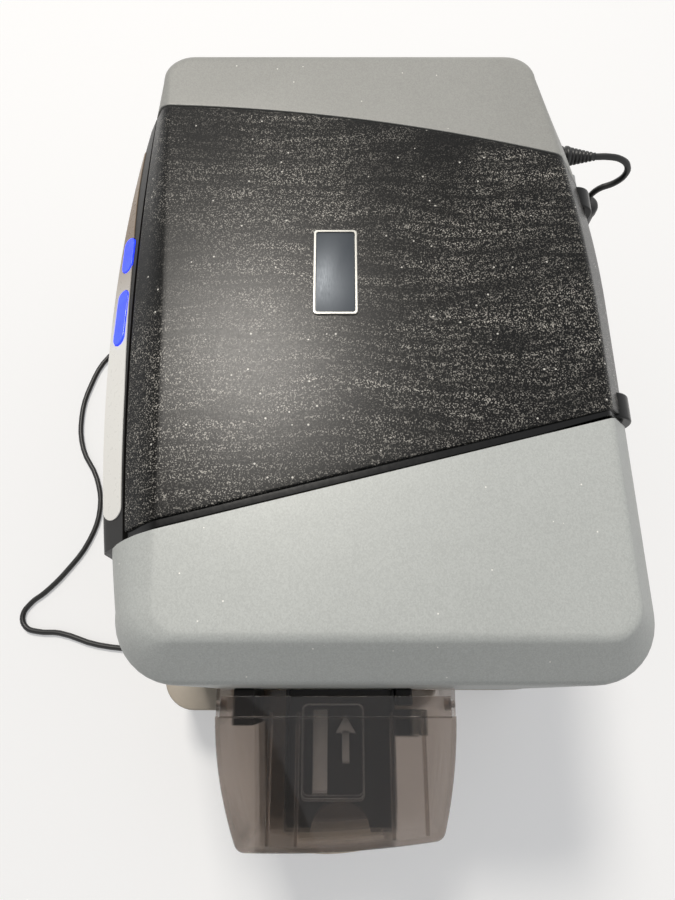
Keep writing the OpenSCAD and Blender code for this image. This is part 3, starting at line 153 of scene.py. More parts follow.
def add(tree: Tree, kind: str, inputs: dict[Any, Any] | None = None, **settings: Any) -> Node:
    """Add one node with its settings and links.

    Args:
        tree: Node tree that gets the node.
        kind: Blender's name for the node, after the word ShaderNode.
        inputs: Value or output socket for each input, by name or number.
        settings: Attributes of the node.

    Returns:
        The new node.
    """
    made = tree.nodes.new(f"ShaderNode{kind}")
    for name, value in settings.items():
        setattr(made, name, value)
    for key, value in (inputs or {}).items():
        if isinstance(value, Socket):
            tree.links.new(value, made.inputs[key])
        else:
            made.inputs[key].default_value = value
    return made


def blank(owner: bpy.types.Material | bpy.types.World) -> Tree:
    """Empty the node tree of a new material or world.

    Args:
        owner: The material or world.

    Returns:
        Its node tree.
    """
    owner.use_nodes = True
    owner.node_tree.nodes.clear()
    return owner.node_tree


@dataclass(frozen=True)
class Specks:
    """Loose specks of dust on a surface: one cell in a few holds a dot."""

    spacing_mm: float
    size: float
    rarity: float
    channel: int
    tone: str

    def over(self, tree: Tree, place: Socket, under: Socket) -> Socket:
        """Lay the specks over a colour.

        Args:
            tree: Node tree of the material.
            place: Coordinates of the surface.
            under: Colour under the specks.

        Returns:
            Colour socket.
        """
        cells = add(tree, "TexVoronoi", {"Vector": place, "Scale": 1 / (self.spacing_mm * MM)})
        dot = add(tree, "Math", {0: cells.outputs["Distance"], 1: self.size}, operation="LESS_THAN")
        draw = add(tree, "SeparateColor", {"Color": cells.outputs["Color"]})
        rare = add(tree, "Math", {0: draw.outputs[self.channel], 1: self.rarity},
                   operation="GREATER_THAN")
        share = add(tree, "Math", {0: dot.outputs[0], 1: rare.outputs[0]}, operation="MULTIPLY")
        return add(tree, "Mix", {0: share.outputs[0], 6: under, 7: linear(self.tone)},
                   data_type="RGBA").outputs[2]


@dataclass(frozen=True)
class Finish:
    """A moulded, painted or metal surface with soft colour patches and a fine grain."""

    name: str
    slot: str
    base: str
    shade: str
    roughness: float
    metallic: float = 0.0
    ior: float = 1.5
    specular: float = 0.5
    patch_mm: float = 25.0
    patch_range: Pair = (0.35, 0.65)
    grain_mm: float = 0.9
    grain_depth: float = 0.02
    grain_range: Pair = (0.3, 0.7)
    smoother: float = 0.04
    rougher: float = 1.1
    stretch: Triple = (1.0, 1.0, 1.0)

    def shader(self, tree: Tree) -> Node:
        """Shader with the constants of this finish on its own sockets."""
        return add(tree, "BsdfPrincipled", {
            "Metallic": self.metallic, "Roughness": self.roughness, "IOR": self.ior,
            "Specular IOR Level": self.specular})

    def place(self, tree: Tree) -> Socket:
        """Object coordinates, drawn out along the direction of the work."""
        where = add(tree, "TexCoord")
        return add(tree, "Mapping", {
            "Vector": where.outputs["Object"], "Scale": self.stretch}).outputs[0]

    def colour(self, tree: Tree, place: Socket) -> Socket:
        """Base colour with soft patches of the shade colour.

        Args:
            tree: Node tree of the material.
            place: Coordinates of the surface.

        Returns:
            Colour socket.
        """
        patches = add(tree, "TexNoise", {
            "Vector": place, "Scale": 1 / (self.patch_mm * MM), "Detail": 5.0, "Roughness": 0.6})
        low, high = self.patch_range
        share = add(tree, "MapRange", {"Value": patches.outputs["Fac"], "From Min": low, "From Max": high})
        return add(tree, "Mix", {0: share.outputs[0], 6: linear(self.base), 7: linear(self.shade)},
                   data_type="RGBA").outputs[2]

    def grain(self, tree: Tree, place: Socket) -> tuple[Socket, Socket]:
        """Fine relief of the surface.

        Args:
            tree: Node tree of the material.
            place: Coordinates of the surface.

        Returns:
            Height from 0 to 1, and the bumped normal.
        """
        fine = add(tree, "TexNoise", {
            "Vector": place, "Scale": 1 / (self.grain_mm * MM), "Detail": 3.0, "Roughness": 0.55})
        bump = add(tree, "Bump", {
            "Height": fine.outputs["Fac"], "Strength": 0.6, "Distance": self.grain_depth * MM})
        return fine.outputs["Fac"], bump.outputs[0]

    def gloss(self, tree: Tree, height: Socket) -> Socket:
        """Roughness that follows the grain a little."""
        return add(tree, "MapRange", {
            "Value": height, "From Min": self.grain_range[0], "From Max": self.grain_range[1],
            "To Min": max(self.roughness - self.smoother, 0.01),
            "To Max": self.roughness * self.rougher}).outputs[0]

    def material(self) -> bpy.types.Material:
        """Make the material once and share it from then on.

        Returns:
            The material.
        """
        ready = bpy.data.materials.get(self.name)
        if ready:
            return ready
        made = bpy.data.materials.new(self.name)
        tree = blank(made)
        shader, place = self.shader(tree), self.place(tree)
        height, normal = self.grain(tree, place)
        tree.links.new(self.colour(tree, place), shader.inputs["Base Color"])
        tree.links.new(self.gloss(tree, height), shader.inputs["Roughness"])
        tree.links.new(normal, shader.inputs["Normal"])
        self.dress(tree, shader, place)
        add(tree, "OutputMaterial", {"Surface": shader.outputs[0]})
        made.diffuse_color = linear(self.base)
        return made

    def dress(self, tree: Tree, shader: Node, place: Socket) -> None:
        """Anything that one kind of finish has beyond the others."""


@dataclass(frozen=True)
class SilverPaint(Finish):
    """Metallic paint sprayed on moulded ABS. Real flakes are 0.05 mm, too fine to show, so they are drawn
    coarser."""

    flake_mm: float = 0.55
    flake_light: Pair = (0.92, 1.07)
    specks: Specks = Specks(4.5, 0.08, 0.86, 1, "F4F2EC")

    def colour(self, tree: Tree, place: Socket) -> Socket:
        """Silver that varies from flake to flake, with a few specks of dust.

        Args:
            tree: Node tree of the material.
            place: Coordinates of the surface.

        Returns:
            Colour socket.
        """
        even = Finish.colour(self, tree, place)
        flakes = add(tree, "TexVoronoi", {"Vector": place, "Scale": 1 / (self.flake_mm * MM)})
        draw = add(tree, "SeparateColor", {"Color": flakes.outputs["Color"]})
        light = add(tree, "MapRange", {
            "Value": draw.outputs[0], "To Min": self.flake_light[0], "To Max": self.flake_light[1]})
        flaked = add(tree, "Mix", {0: 1.0, 6: even, 7: light.outputs[0]},
                     data_type="RGBA", blend_type="MULTIPLY")
        return self.specks.over(tree, place, flaked.outputs[2])


@dataclass(frozen=True)
class DustAndGlintShell(Finish):
    """Spark-textured black ABS: dust wiped in streaks along the depth and a painted glint grey its peaks."""

    # Grey of the dust on the peaks, which also stands for a painted glint of light on them.
    dust: str = "BDB9B1"
    peak_mm: float = 0.62
    peak_range: Pair = (0.55, 0.66)
    sweep_mm: float = 3.4
    sweep_range: Triple = (0.4, 0.62, 0.16)
    sweep_turn: float = -8.0
    sweep_drawn: float = 0.07
    bow_mm: float = 130.0
    bow: Triple = (0.05, 0.01, 0.0)
    zone_mm: float = 75.0
    zone_range: Triple = (0.38, 0.6, 0.18)
    specks: Specks = Specks(3.0, 0.16, 0.94, 0, "D4D1CA")

    def sweeps(self, tree: Tree, place: Socket) -> Socket:
        """Share of dust and painted glint on the peaks, in the drawn-out clusters that wiping left.

        Args:
            tree: Node tree of the material.
            place: Coordinates of the surface.

        Returns:
            Share from 0 to 1.
        """
        bow = add(tree, "TexNoise", {
            "Vector": place, "Scale": 1 / (self.bow_mm * MM), "Detail": 1.0})
        curved = add(tree, "VectorMath", {0: bow.outputs["Color"], 1: self.bow, 2: place},
                     operation="MULTIPLY_ADD")
        drawn = add(tree, "Mapping", {
            "Vector": curved.outputs[0], "Rotation": (0.0, 0.0, math.radians(self.sweep_turn)),
            "Scale": (1.0, self.sweep_drawn, 1.0)})
        lines = add(tree, "TexNoise", {
            "Vector": drawn.outputs[0], "Scale": 1 / (self.sweep_mm * MM), "Detail": 4.0, "Roughness": 0.7})
        zones = add(tree, "TexNoise", {
            "Vector": place, "Scale": 1 / (self.zone_mm * MM), "Detail": 3.0})
        line, zone = (add(tree, "MapRange", {
            "Value": noise.outputs["Fac"], "From Min": low, "From Max": high, "To Min": least})
            for noise, (low, high, least) in ((lines, self.sweep_range), (zones, self.zone_range)))
        return add(tree, "Math", {0: line.outputs[0], 1: zone.outputs[0]},
                   operation="MULTIPLY").outputs[0]

    def colour(self, tree: Tree, place: Socket) -> Socket:
        """Black plastic, its texture peaks greyed by dust and painted glint, a few loose specks on top.

        Args:
            tree: Node tree of the material.
            place: Coordinates of the surface.

        Returns:
            Colour socket.
        """
        black = Finish.colour(self, tree, place)
        peaks = add(tree, "TexNoise", {
            "Vector": place, "Scale": 1 / (self.peak_mm * MM), "Detail": 1.0, "Roughness": 0.5})
        peak = add(tree, "MapRange", {
            "Value": peaks.outputs["Fac"], "From Min": self.peak_range[0], "From Max": self.peak_range[1]})
        share = add(tree, "Math", {0: peak.outputs[0], 1: self.sweeps(tree, place)},
                    operation="MULTIPLY")
        # Painted glint: the grey laid on the peaks is partly dust and partly light painted into the colour.
        greyed = add(tree, "Mix", {0: share.outputs[0], 6: black, 7: linear(self.dust)},
                     data_type="RGBA")
        return self.specks.over(tree, place, greyed.outputs[2])


@dataclass(frozen=True)
class SmokedPlastic(Finish):
    """Smoked polycarbonate, clear and brown grey."""

    clearness: float = 1.0
    cover: float = 0.6

    def shader(self, tree: Tree) -> Node:
        """Clear shader of this finish. What it doesn't cover lets lamps light the tray inside."""
        return add(tree, "BsdfPrincipled", {
            "Metallic": 0.0, "IOR": self.ior, "Specular IOR Level": self.specular,
            "Transmission Weight": self.clearness, "Alpha": self.cover})


@dataclass(frozen=True)
class LitLens(Finish):
    """Clear polycarbonate lens over a lamp."""

    glow: str = "1018FF"
    glow_pale: str = "2C48FF"
    glow_mm: float = 9.0
    strength: float = 1.2

    def dress(self, tree: Tree, shader: Node, place: Socket) -> None:
        """The light that shows through the lens, a little uneven.

        Args:
            tree: Node tree of the material.
            shader: Shader that gets the light.
            place: Coordinates of the surface.
        """
        spots = add(tree, "TexNoise", {
            "Vector": place, "Scale": 1 / (self.glow_mm * MM), "Detail": 1.0})
        tint = add(tree, "Mix", {
            0: spots.outputs["Fac"], 6: linear(self.glow), 7: linear(self.glow_pale)}, data_type="RGBA")
        tree.links.new(tint.outputs[2], shader.inputs["Emission Color"])
        shader.inputs["Emission Strength"].default_value = self.strength


@dataclass(frozen=True)
class FrostedBar(Finish):
    """Frosted acrylic over a row of lamps, lit from the place where it fades to the lit colour."""

    lit: str = "F6F5F0"
    fades: Pair = (-90.0, -25.0)

    def colour(self, tree: Tree, place: Socket) -> Socket:
        """Warm grey that turns white along the bar.

        Args:
            tree: Node tree of the material.
            place: Coordinates of the surface.

        Returns:
            Colour socket.
        """
        dark = Finish.colour(self, tree, place)
        axes = add(tree, "SeparateXYZ", {"Vector": place})
        share = add(tree, "MapRange", {
            "Value": axes.outputs["X"], "From Min": self.fades[0] * MM, "From Max": self.fades[1] * MM})
        return add(tree, "Mix", {0: share.outputs[0], 6: dark, 7: linear(self.lit)},
                   data_type="RGBA").outputs[2]


class Look(Enum):
    """Finishes of the printer, each named for what the real one is."""

    # Paint sprayed on ABS: flakes glint in a satin coat, so the light spreads wide over the end.
    SILVER_NEAR = SilverPaint("silver_paint_near", "silver_near", "BEC1BE", "B9BCB9", 0.42, metallic=0.1,
                              specular=0.35, patch_mm=90, grain_mm=1.1, grain_depth=0.012)
    # The same paint on the far end with painted shade: a darker and warmer grey for the shade on that end.
    SILVER_FAR = SilverPaint("silver_paint_far", "silver_far", "A0A09C", "9A9A96", 0.44, metallic=0.1,
                             specular=0.35, patch_mm=90, grain_mm=1.1, grain_depth=0.012)
    # Spark-textured ABS: the mould's pits break the gloss up; dust and a painted glint grey the peaks.
    BLACK_SHELL = DustAndGlintShell("spark_textured_abs", "black_shell", "070707", "0A0A09", 0.3, specular=0.2,
                             grain_mm=0.7, grain_depth=0.032)
    # Polished ABS: a dark edge with one narrow highlight.
    BLACK_RIM = Finish("polished_black_abs", "black_shell", "070707", "0A0A0A", 0.24, specular=0.3,
                       grain_mm=2.0, grain_depth=0.004)
    # Moulded ABS with a fine grain: near black with a dull, even light.
    DARK_PANEL = Finish("moulded_dark_abs", "dark_panel", "131211", "1A1918", 0.42, specular=0.35,
                        grain_depth=0.03)
    # Moulded ABS in warm grey: matt and chalky beside the silver.
    BASE_GREY = Finish("moulded_warm_abs", "base_grey", "BDB3A4", "B0A698", 0.5, grain_depth=0.03)
    # Moulded rubber: no highlight, only a soft dark sheen.
    RUBBER = Finish("moulded_rubber", "rubber", "161616", "1E1E1E", 0.75, ior=1.52, grain_mm=0.6,
                    grain_depth=0.04)
    # Zinc-plated sheet: rolled streaks and small cloudy patches of zinc.
    STEEL = Finish("zinc_plated_sheet", "steel", "A9ABAB", "8F9293", 0.36, metallic=1.0, patch_mm=9,
                   grain_mm=0.5, grain_depth=0.006, stretch=(0.12, 1.0, 1.0))
    # Extruded aluminium: bright, with fine lines left by the die.
    ALUMINIUM = Finish("extruded_aluminium", "aluminium", "C4C6C9", "B2B4B8", 0.34, metallic=1.0,
                       grain_mm=0.4, grain_depth=0.006, stretch=(1.0, 0.1, 1.0))
    # Sintered bronze: a brown gold made dull by its pores.
    BRONZE = Finish("sintered_bronze", "bronze", "B58A4C", "94703E", 0.42, metallic=1.0, patch_mm=3)
    # Moulded acetal: ivory with a waxy light.
    ACETAL = Finish("moulded_acetal", "gear_plastic", "E4DFD0", "D8D2C1", 0.4, patch_mm=8, grain_depth=0.01)
    # Frosted acrylic: a flat milky bar, white where the lamps behind it are lit and warm grey elsewhere.
    STRIP = FrostedBar("frosted_acrylic", "strip", "927F6C", "857462", 0.3, ior=1.49, grain_mm=2.0,
                       grain_depth=0.006)
    # Clear polycarbonate over a blue lamp: an even glow under a glossy face.
    LENS = LitLens("lit_blue_polycarbonate", "blue_lit", "1E38E8", "2A4BF5", 0.22, ior=1.58,
                   grain_depth=0.004)
    # Solder mask: green lacquer, glossy over the glass cloth.
    CIRCUIT = Finish("solder_mask", "circuit", "17492B", "113A22", 0.35, patch_mm=4, grain_mm=1.6,
                     grain_depth=0.02)
    # Satin chrome on ABS: a bright line round the badge.
    BADGE = Finish("satin_chrome_badge", "badge", "9A9995", "8D8C88", 0.34, metallic=0.7, grain_mm=0.5,
                   grain_depth=0.006, stretch=(0.15, 1.0, 1.0))
    # Anodised aluminium foil, brushed: blue grey, darker than its frame.
    BADGE_PLATE = Finish("anodised_badge_plate", "badge", "454A50", "3D4248", 0.4, metallic=0.5,
                         grain_mm=0.5, grain_depth=0.01, stretch=(0.15, 1.0, 1.0))
    # Smoked polycarbonate: clear brown grey, darker at its edges, with the faint flow marks of moulding.
    SMOKE = SmokedPlastic("smoked_polycarbonate", "smoke", "AC9C90", "A6978B", 0.02, ior=1.58, patch_mm=40,
                          grain_mm=14, grain_depth=0.006)
    # Satin ABS: deep black under the smoked walls.
    TRAY = Finish("satin_black_abs", "black_shell", "0E0E0E", "141414", 0.38, grain_mm=0.8, grain_depth=0.03)
    # Pad-printed ink: flat pale grey, a little rougher than what it lies on.
    PRINTED = Finish("pad_printed_ink", "lever", "D8DADB", "CFD1D2", 0.5, grain_mm=1.2, grain_depth=0.01)
    # Moulded ABS in beige: warm and matt.
    LIP = Finish("moulded_beige_abs", "lip", "D3C6B3", "C8BBA8", 0.48, grain_depth=0.03)
    # Moulded ABS in light grey: plain and satin.
    LEVER = Finish("moulded_grey_abs", "lever", "B4B3AE", "A8A7A2", 0.45, grain_depth=0.02)
    # Dye film on polyester: glossy deep magenta.
    FILM = Finish("dye_film", "film", "5E1A48", "6B2052", 0.2, ior=1.64, grain_mm=6, grain_depth=0.02)
    # Wound dye film: dark magenta with the fine rings of its turns.
    SUPPLY = Finish("wound_dye_film", "spool_dark", "521040", "61184A", 0.28, grain_mm=0.5,
                    grain_depth=0.03, stretch=(1.0, 0.05, 1.0))
    # Wound used film: ochre, ringed in the same way.
    TAKEUP = Finish("wound_used_film", "spool_yellow", "A78A22", "93791B", 0.3, grain_mm=0.5,
                    grain_depth=0.03, stretch=(1.0, 0.05, 1.0))
    # Glazed ceramic: smooth off-white with a sharp light.
    CERAMIC = Finish("glazed_ceramic", "ceramic", "E2DED2", "D6D1C4", 0.2, ior=1.55, grain_depth=0.004)
    # Tacky silicone sleeve: dull yellow with a moist gloss.
    TACKY = Finish("tacky_sleeve", "tacky", "C9BE6A", "BDB25C", 0.3, grain_mm=3, grain_depth=0.03)
    # Extruded PVC: black with a soft line of light along the lead.
    JACKET = Finish("pvc_jacket", "cord_black", "101010", "171717", 0.42, ior=1.53, grain_mm=1.0,
                    grain_depth=0.03)


# Shapes

def bent_grid(rows: Sequence[Row], out: Vector, closed: bool = False) -> Mesh:
    """Bend a grid so that it runs through rows of points.

    Args:
        rows: Rows of equally many points, in millimetres.
        out: A direction that the first face looks along.
        closed: Joins the last column to the first and fills the ends that are open.

    Returns:
        The bent grid.
    """
    lines = [[*row, row[0]] for row in rows] if closed else rows
    across, up = len(lines[0]) - 1, len(lines) - 1
    bm = bmesh.new()
    bmesh.ops.create_grid(bm, x_segments=across, y_segments=up, size=1.0)
    for vert in bm.verts:
        vert.co = lines[round((vert.co.y + 1) / 2 * up)][round((vert.co.x + 1) / 2 * across)]
    if closed:
        return sealed(bm)
    bm.normal_update()
    total = sum((face.normal * face.calc_area() for face in bm.faces), Vector())
    if total.dot(out) < 0:
        bmesh.ops.reverse_faces(bm, faces=bm.faces)
    return bm


def sealed(bm: Mesh) -> Mesh:
    """Close a skin: join its seam, fill its holes and turn its faces outwards.

    Args:
        bm: The skin.

    Returns:
        The same mesh, now a solid.
    """
    bmesh.ops.remove_doubles(bm, verts=bm.verts, dist=SAME_SPOT)
    bmesh.ops.holes_fill(bm, edges=[e for e in bm.edges if e.is_boundary], sides=0)
    bmesh.ops.recalc_face_normals(bm, faces=bm.faces)
    return bm


def rounded_rows(first: Row, corner: Row, last: Row, count: int) -> list[Row]:
    """Rows that round off the corner row between the first and the last.

    Args:
        first: Row before the corner.
        corner: Row on the sharp corner.
        last: Row after the corner.
        count: How many rows to put in.

    Returns:
        The rows between first and last.
    """
    shares = steps(0, 1, count + 2)[1:-1]
    return [[bend(a, b, c, s) for a, b, c in zip(first, corner, last)] for s in shares]


def rounded_edges(bm: Mesh, edges: Sequence[bmesh.types.BMEdge], width: float, segments: int) -> Mesh:
    """Round some edges of a mesh.

    Args:
        bm: The mesh.
        edges: Edges to round.
        width: Width of the rounding in millimetres, or 0 for none.
        segments: Facets across the rounding.

    Returns:
        The same mesh.
    """
    if width > 0:
        bmesh.ops.bevel(bm, geom=list(edges), offset=width, segments=segments, profile=0.5,
                        affect="EDGES", material=-1)
    return bm


def block(low: Sequence[float], high: Sequence[float], edge: float = 0.5, segments: int = 2) -> Mesh:
    """A block with rounded edges.

    Args:
        low: Lowest corner in millimetres.
        high: Highest corner in millimetres.
        edge: Width of the rounding.
        segments: Facets across the rounding.

    Returns:
        The block.
    """
    bm = bmesh.new()
    bmesh.ops.create_cube(bm, size=1.0)
    bmesh.ops.scale(bm, vec=[b - a for a, b in zip(low, high)], verts=bm.verts)
    bmesh.ops.translate(bm, vec=[(a + b) / 2 for a, b in zip(low, high)], verts=bm.verts)
    return rounded_edges(bm, bm.edges, edge, segments)


def drum(start: Sequence[float], end: Sequence[float], radius: float, edge: float = 0.4,
         sides: int = 48) -> Mesh:
    """A round bar between two points, with rounded rims.

    Args:
        start: Middle of the first end, in millimetres.
        end: Middle of the other end.
        radius: Its radius.
        edge: Width of the rounding at the rims.
        sides: Facets round the bar.

    Returns:
        The bar.
    """
    bm = bmesh.new()
    start, end = Vector(start), Vector(end)
    run = end - start
    bmesh.ops.create_cone(bm, cap_ends=True, segments=sides, radius1=radius, radius2=radius, depth=run.length)
    rims = [e for e in bm.edges if any(len(f.verts) != 4 for f in e.link_faces)]
    rounded_edges(bm, rims, edge, 3)
    turn = run.to_track_quat("Z", "Y").to_matrix().to_4x4()
    bmesh.ops.transform(bm, matrix=Matrix.Translation((start + end) / 2) @ turn, verts=bm.verts)
    return bm


def prism(outline: Sequence[Pair], low: float, high: float, edge: float = 0.0, segments: int = 2) -> Mesh:
    """An upright solid over a flat outline.

    Args:
        outline: Corner points in plan, in millimetres.
        low: Height of the underside.
        high: Height of the top.
        edge: Width of the rounding at the top and bottom rims.
        segments: Facets across the rounding.

    Returns:
        The solid.
    """
    bm = bent_grid([level(outline, z) for z in (low, high)], UP, closed=True)
    rims = [e for e in bm.edges if abs(e.verts[0].co.z - e.verts[1].co.z) < SAME_SPOT]
    return rounded_edges(bm, rims, edge, segments)


def level(outline: Sequence[Pair], z: float) -> Row:
    """A plan outline at one height."""
    return [Vector((x, y, z)) for x, y in outline]


def joined(*parts: Mesh) -> Mesh:
    """Put several meshes into the first one.

    Args:
        parts: The meshes, of which only the first is kept.

    Returns:
        The first mesh with all of them in it.
    """
    whole = parts[0]
    for part in parts[1:]:
        spare = bpy.data.meshes.new("spare")
        part.to_mesh(spare)
        part.free()
        whole.from_mesh(spare)
        bpy.data.meshes.remove(spare)
    return whole


def rounded_outline(x0: float, y0: float, x1: float, y1: float, radius: float, count: int = 6) -> list[Pair]:
    """Corner points of a rectangle with round corners, anticlockwise.

    Args:
        x0: Lowest X.
        y0: Lowest Y.
        x1: Highest X.
        y1: Highest Y.
        radius: Radius of the corners.
        count: Steps round a corner.

    Returns:
        The points.
    """
    made = []
    for x, y, turn in ((x1 - radius, y1 - radius, 0), (x0 + radius, y1 - radius, 90),
                       (x0 + radius, y0 + radius, 180), (x1 - radius, y0 + radius, 270)):
        made += arc(x, y, radius, turn, turn + 90, count)
    return made


# Pieces

def placed(name: str, data: bpy.types.ID, where: Matrix | None = None) -> Object:
    """Put new data into the scene as an object.

    Args:
        name: Name of the object.
        data: Its mesh, curve, camera or light.
        where: Its place and turn, or None for the origin.

    Returns:
        The object.
    """
    obj = bpy.data.objects.new(name, data)
    obj.matrix_world = where or Matrix()
    bpy.context.scene.collection.objects.link(obj)
    return obj


def as_object(bm: Mesh, name: str) -> Object:
    """Turn a mesh in millimetres to an object in metres, at the origin.

    Args:
        bm: The mesh, which is freed.
        name: Name of the object.

    Returns:
        The object.
    """
    bmesh.ops.scale(bm, vec=(MM, MM, MM), verts=bm.verts)
    mesh = bpy.data.meshes.new(name)
    bm.to_mesh(mesh)
    bm.free()
    mesh.shade_smooth()
    return placed(name, mesh)


def bake(obj: Object) -> None:
    """Apply the modifiers that an object has so far.

    Args:
        obj: The object.
    """
    bpy.context.view_layer.update()
    shown = obj.evaluated_get(bpy.context.evaluated_depsgraph_get())
    before, mesh = obj.data, bpy.data.meshes.new_from_object(shown)
    obj.modifiers.clear()
    obj.data = mesh
    bpy.data.meshes.remove(before)
    mesh.name = obj.name


def thicken(obj: Object, wall: float) -> None:
    """Give a skin its wall, inwards.

    Args:
        obj: The skin.
        wall: Thickness in millimetres.
    """
    solid = obj.modifiers.new("wall", "SOLIDIFY")
    solid.thickness = wall * MM
    solid.offset = -1.0
    solid.use_even_offset = True
    bake(obj)


def carve(obj: Object, cutters: Sequence[Mesh]) -> None:
    """Cut solids out of a closed solid.

    Args:
        obj: Object to cut.
        cutters: Solids to take away, in millimetres.
    """
    tools = [as_object(bm, f"{obj.name}_cut") for bm in cutters]
    for tool in tools:
        cut = obj.modifiers.new("cut", "BOOLEAN")
        cut.operation = "DIFFERENCE"
        cut.solver = "EXACT"
        cut.object = tool
    bake(obj)
    for tool in tools:
        bpy.data.meshes.remove(tool.data)
    obj.data.shade_smooth()


def soften(obj: Object, width: float, segments: int) -> None:
    """Round the sharp edges of a finished shape and keep its flat faces flat.

    Args:
        obj: Object to finish.
        width: Width of the rounding in millimetres, or 0 for none.
        segments: Facets across the rounding.
    """
    if width > 0:
        bevel = obj.modifiers.new("rounding", "BEVEL")
        bevel.width = width * MM
        bevel.segments = segments
        bevel.limit_method = "ANGLE"
        bevel.angle_limit = math.radians(38)
        bevel.use_clamp_overlap = True
    obj.modifiers.new("flat_faces", "WEIGHTED_NORMAL").keep_sharp = True


def coat(obj: Object, look: Look) -> None:
    """Give an object one finish and no other."""
    obj.data.materials.clear()
    obj.data.materials.append(look.value.material())


def settle(obj: Object, body: str, look: Look, *nodes: str) -> Object:
    """Dress a piece and let it ride on its body.

    Args:
        obj: The piece, in place.
        body: CAD body that it moves with.
        look: Its finish.
        nodes: CAD nodes that it stands for.

    Returns:
        The piece.
    """
    coat(obj, look)
    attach(obj, body)
    if nodes:
        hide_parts(*nodes)
    LOG.info("%s rides on %s", obj.name, body)
    return obj


def piece(bm: Mesh, name: str, body: str, look: Look, *nodes: str, wall: float = 0.0,
          cutters: Sequence[Mesh] = (), rounding: float = 0.0, segments: int = 2) -> Object:
    """Make a whole piece of the printer.

    Args:
        bm: Its skin or solid, in millimetres.
        name: Its name.
        body: CAD body that it moves with.
        look: Its finish.
        nodes: CAD nodes that it stands for.
        wall: Wall that a skin gets inwards, or 0 where the mesh is a solid.
        cutters: Solids that are cut out of it.
        rounding: Width of its rounded edges.
        segments: Facets across the rounding.

    Returns:
        The piece.
    """
    obj = as_object(bm, name)
    if wall > 0:
        thicken(obj, wall)
    if cutters:
        carve(obj, cutters)
    soften(obj, rounding, segments)
    return settle(obj, body, look, *nodes)


# Camera and light

@dataclass
class Studio:
    """Camera, lamps, floor and background."""

    eye: Triple = (0.132, -0.013, 0.522)
    pitch: float = 70.0
    lens: float = 27.04
    aim: Triple = (0.0, 0.0, 0.2)
    surround: float = 0.32
    ceiling: float = 0.3
    ceiling_fade: Pair = (0.45, 0.9)
    floor_size: float = 6.0
    floor_glow: float = 0.35

    def camera(self) -> None:
        """Camera at the photograph's place, looking down along the printer from the hopper's end."""
        data = bpy.data.cameras.new("camera")
        data.lens = self.lens
        data.sensor_width = 36.0
        data.clip_start = 0.01
        tilt = math.radians(self.pitch)
        ahead = Vector((-math.cos(tilt), 0, -math.sin(tilt)))
        right = Vector((0, 1, 0))
        turn = Matrix((right, right.cross(ahead), -ahead)).transposed().to_4x4()
        bpy.context.scene.camera = placed("camera", data, Matrix.Translation(self.eye) @ turn)

    def lamp(self, name: str, place: Triple, size: float, power: float, colour: str) -> None:
        """Add a soft square lamp that looks at the printer.

        Args:
            name: Name of the lamp.
            place: Its middle in metres.
            size: Its side in metres.
            power: Its power in watts.
            colour: Its colour as hex.
        """
        data = bpy.data.lights.new(name, "AREA")
        data.size = size
        data.energy = power
        data.color = linear(colour)[:3]
        aim = Vector(self.aim) - Vector(place)
        placed(name, data, Matrix.Translation(place) @ aim.to_track_quat("-Z", "Y").to_matrix().to_4x4())

    def world(self) -> None:
        """Soft light from all round, and a white backdrop with a dim ceiling for the rays that show it."""
        world = bpy.data.worlds.new("studio")
        tree = blank(world)
        where = add(tree, "TexCoord")
        height = add(tree, "SeparateXYZ", {"Vector": where.outputs["Generated"]})
        fade = add(tree, "MapRange", {
            "Value": height.outputs["Z"], "From Min": self.ceiling_fade[0], "From Max": self.ceiling_fade[1],
            "To Min": 1.0, "To Max": self.ceiling})
        soft = add(tree, "Background", {"Color": linear("F4F5F8"), "Strength": self.surround})
        white = add(tree, "Background", {"Color": WHITE, "Strength": fade.outputs[0]})
        both = add(tree, "MixShader", {0: self.seen(tree), 1: soft.outputs[0], 2: white.outputs[0]})
        add(tree, "OutputWorld", {"Surface": both.outputs[0]})
        bpy.context.scene.world = world

    def seen(self, tree: Tree) -> Socket:
        """One for the rays that show the background: those of the camera, of gloss and of clear plastic.

        Args:
            tree: Node tree that gets the nodes.

        Returns:
            Socket with one or zero.
        """
        path = add(tree, "LightPath").outputs
        share = path["Is Camera Ray"]
        for ray in ("Is Glossy Ray", "Is Transmission Ray"):
            share = add(tree, "Math", {0: share, 1: path[ray]}, operation="MAXIMUM").outputs[0]
        return share

    def floor(self) -> None:
        """Pale floor that keeps the shadow and throws back less light than it shows, like a desk."""
        bm = bmesh.new()
        bmesh.ops.create_grid(bm, x_segments=8, y_segments=8, size=self.floor_size / 2 / MM)
        obj = as_object(bm, "floor")
        made = bpy.data.materials.new("pale_floor")
        tree = blank(made)
        dim = add(tree, "BsdfDiffuse", {"Color": linear("6C6861")})
        pale = add(tree, "BsdfDiffuse", {"Color": linear("D4D4D4")})
        glow = add(tree, "Emission", {"Color": WHITE, "Strength": self.floor_glow})
        lit = add(tree, "AddShader", {0: pale.outputs[0], 1: glow.outputs[0]})
        both = add(tree, "MixShader", {0: self.seen(tree), 1: dim.outputs[0], 2: lit.outputs[0]})
        add(tree, "OutputMaterial", {"Surface": both.outputs[0]})
        obj.data.materials.append(made)

    def build(self) -> None:
        """Set up the whole studio."""
        bpy.context.scene.view_settings.view_transform = "Standard"
        self.camera()
        self.lamp("key", (-1.4, -0.45, 2.9), size=0.6, power=62.0, colour="FFFAF2")
        self.lamp("fill", (-0.3, 0.6, 2.4), size=2.2, power=6.0, colour="F6F9FF")
        self.world()
        self.floor()


# Power lead

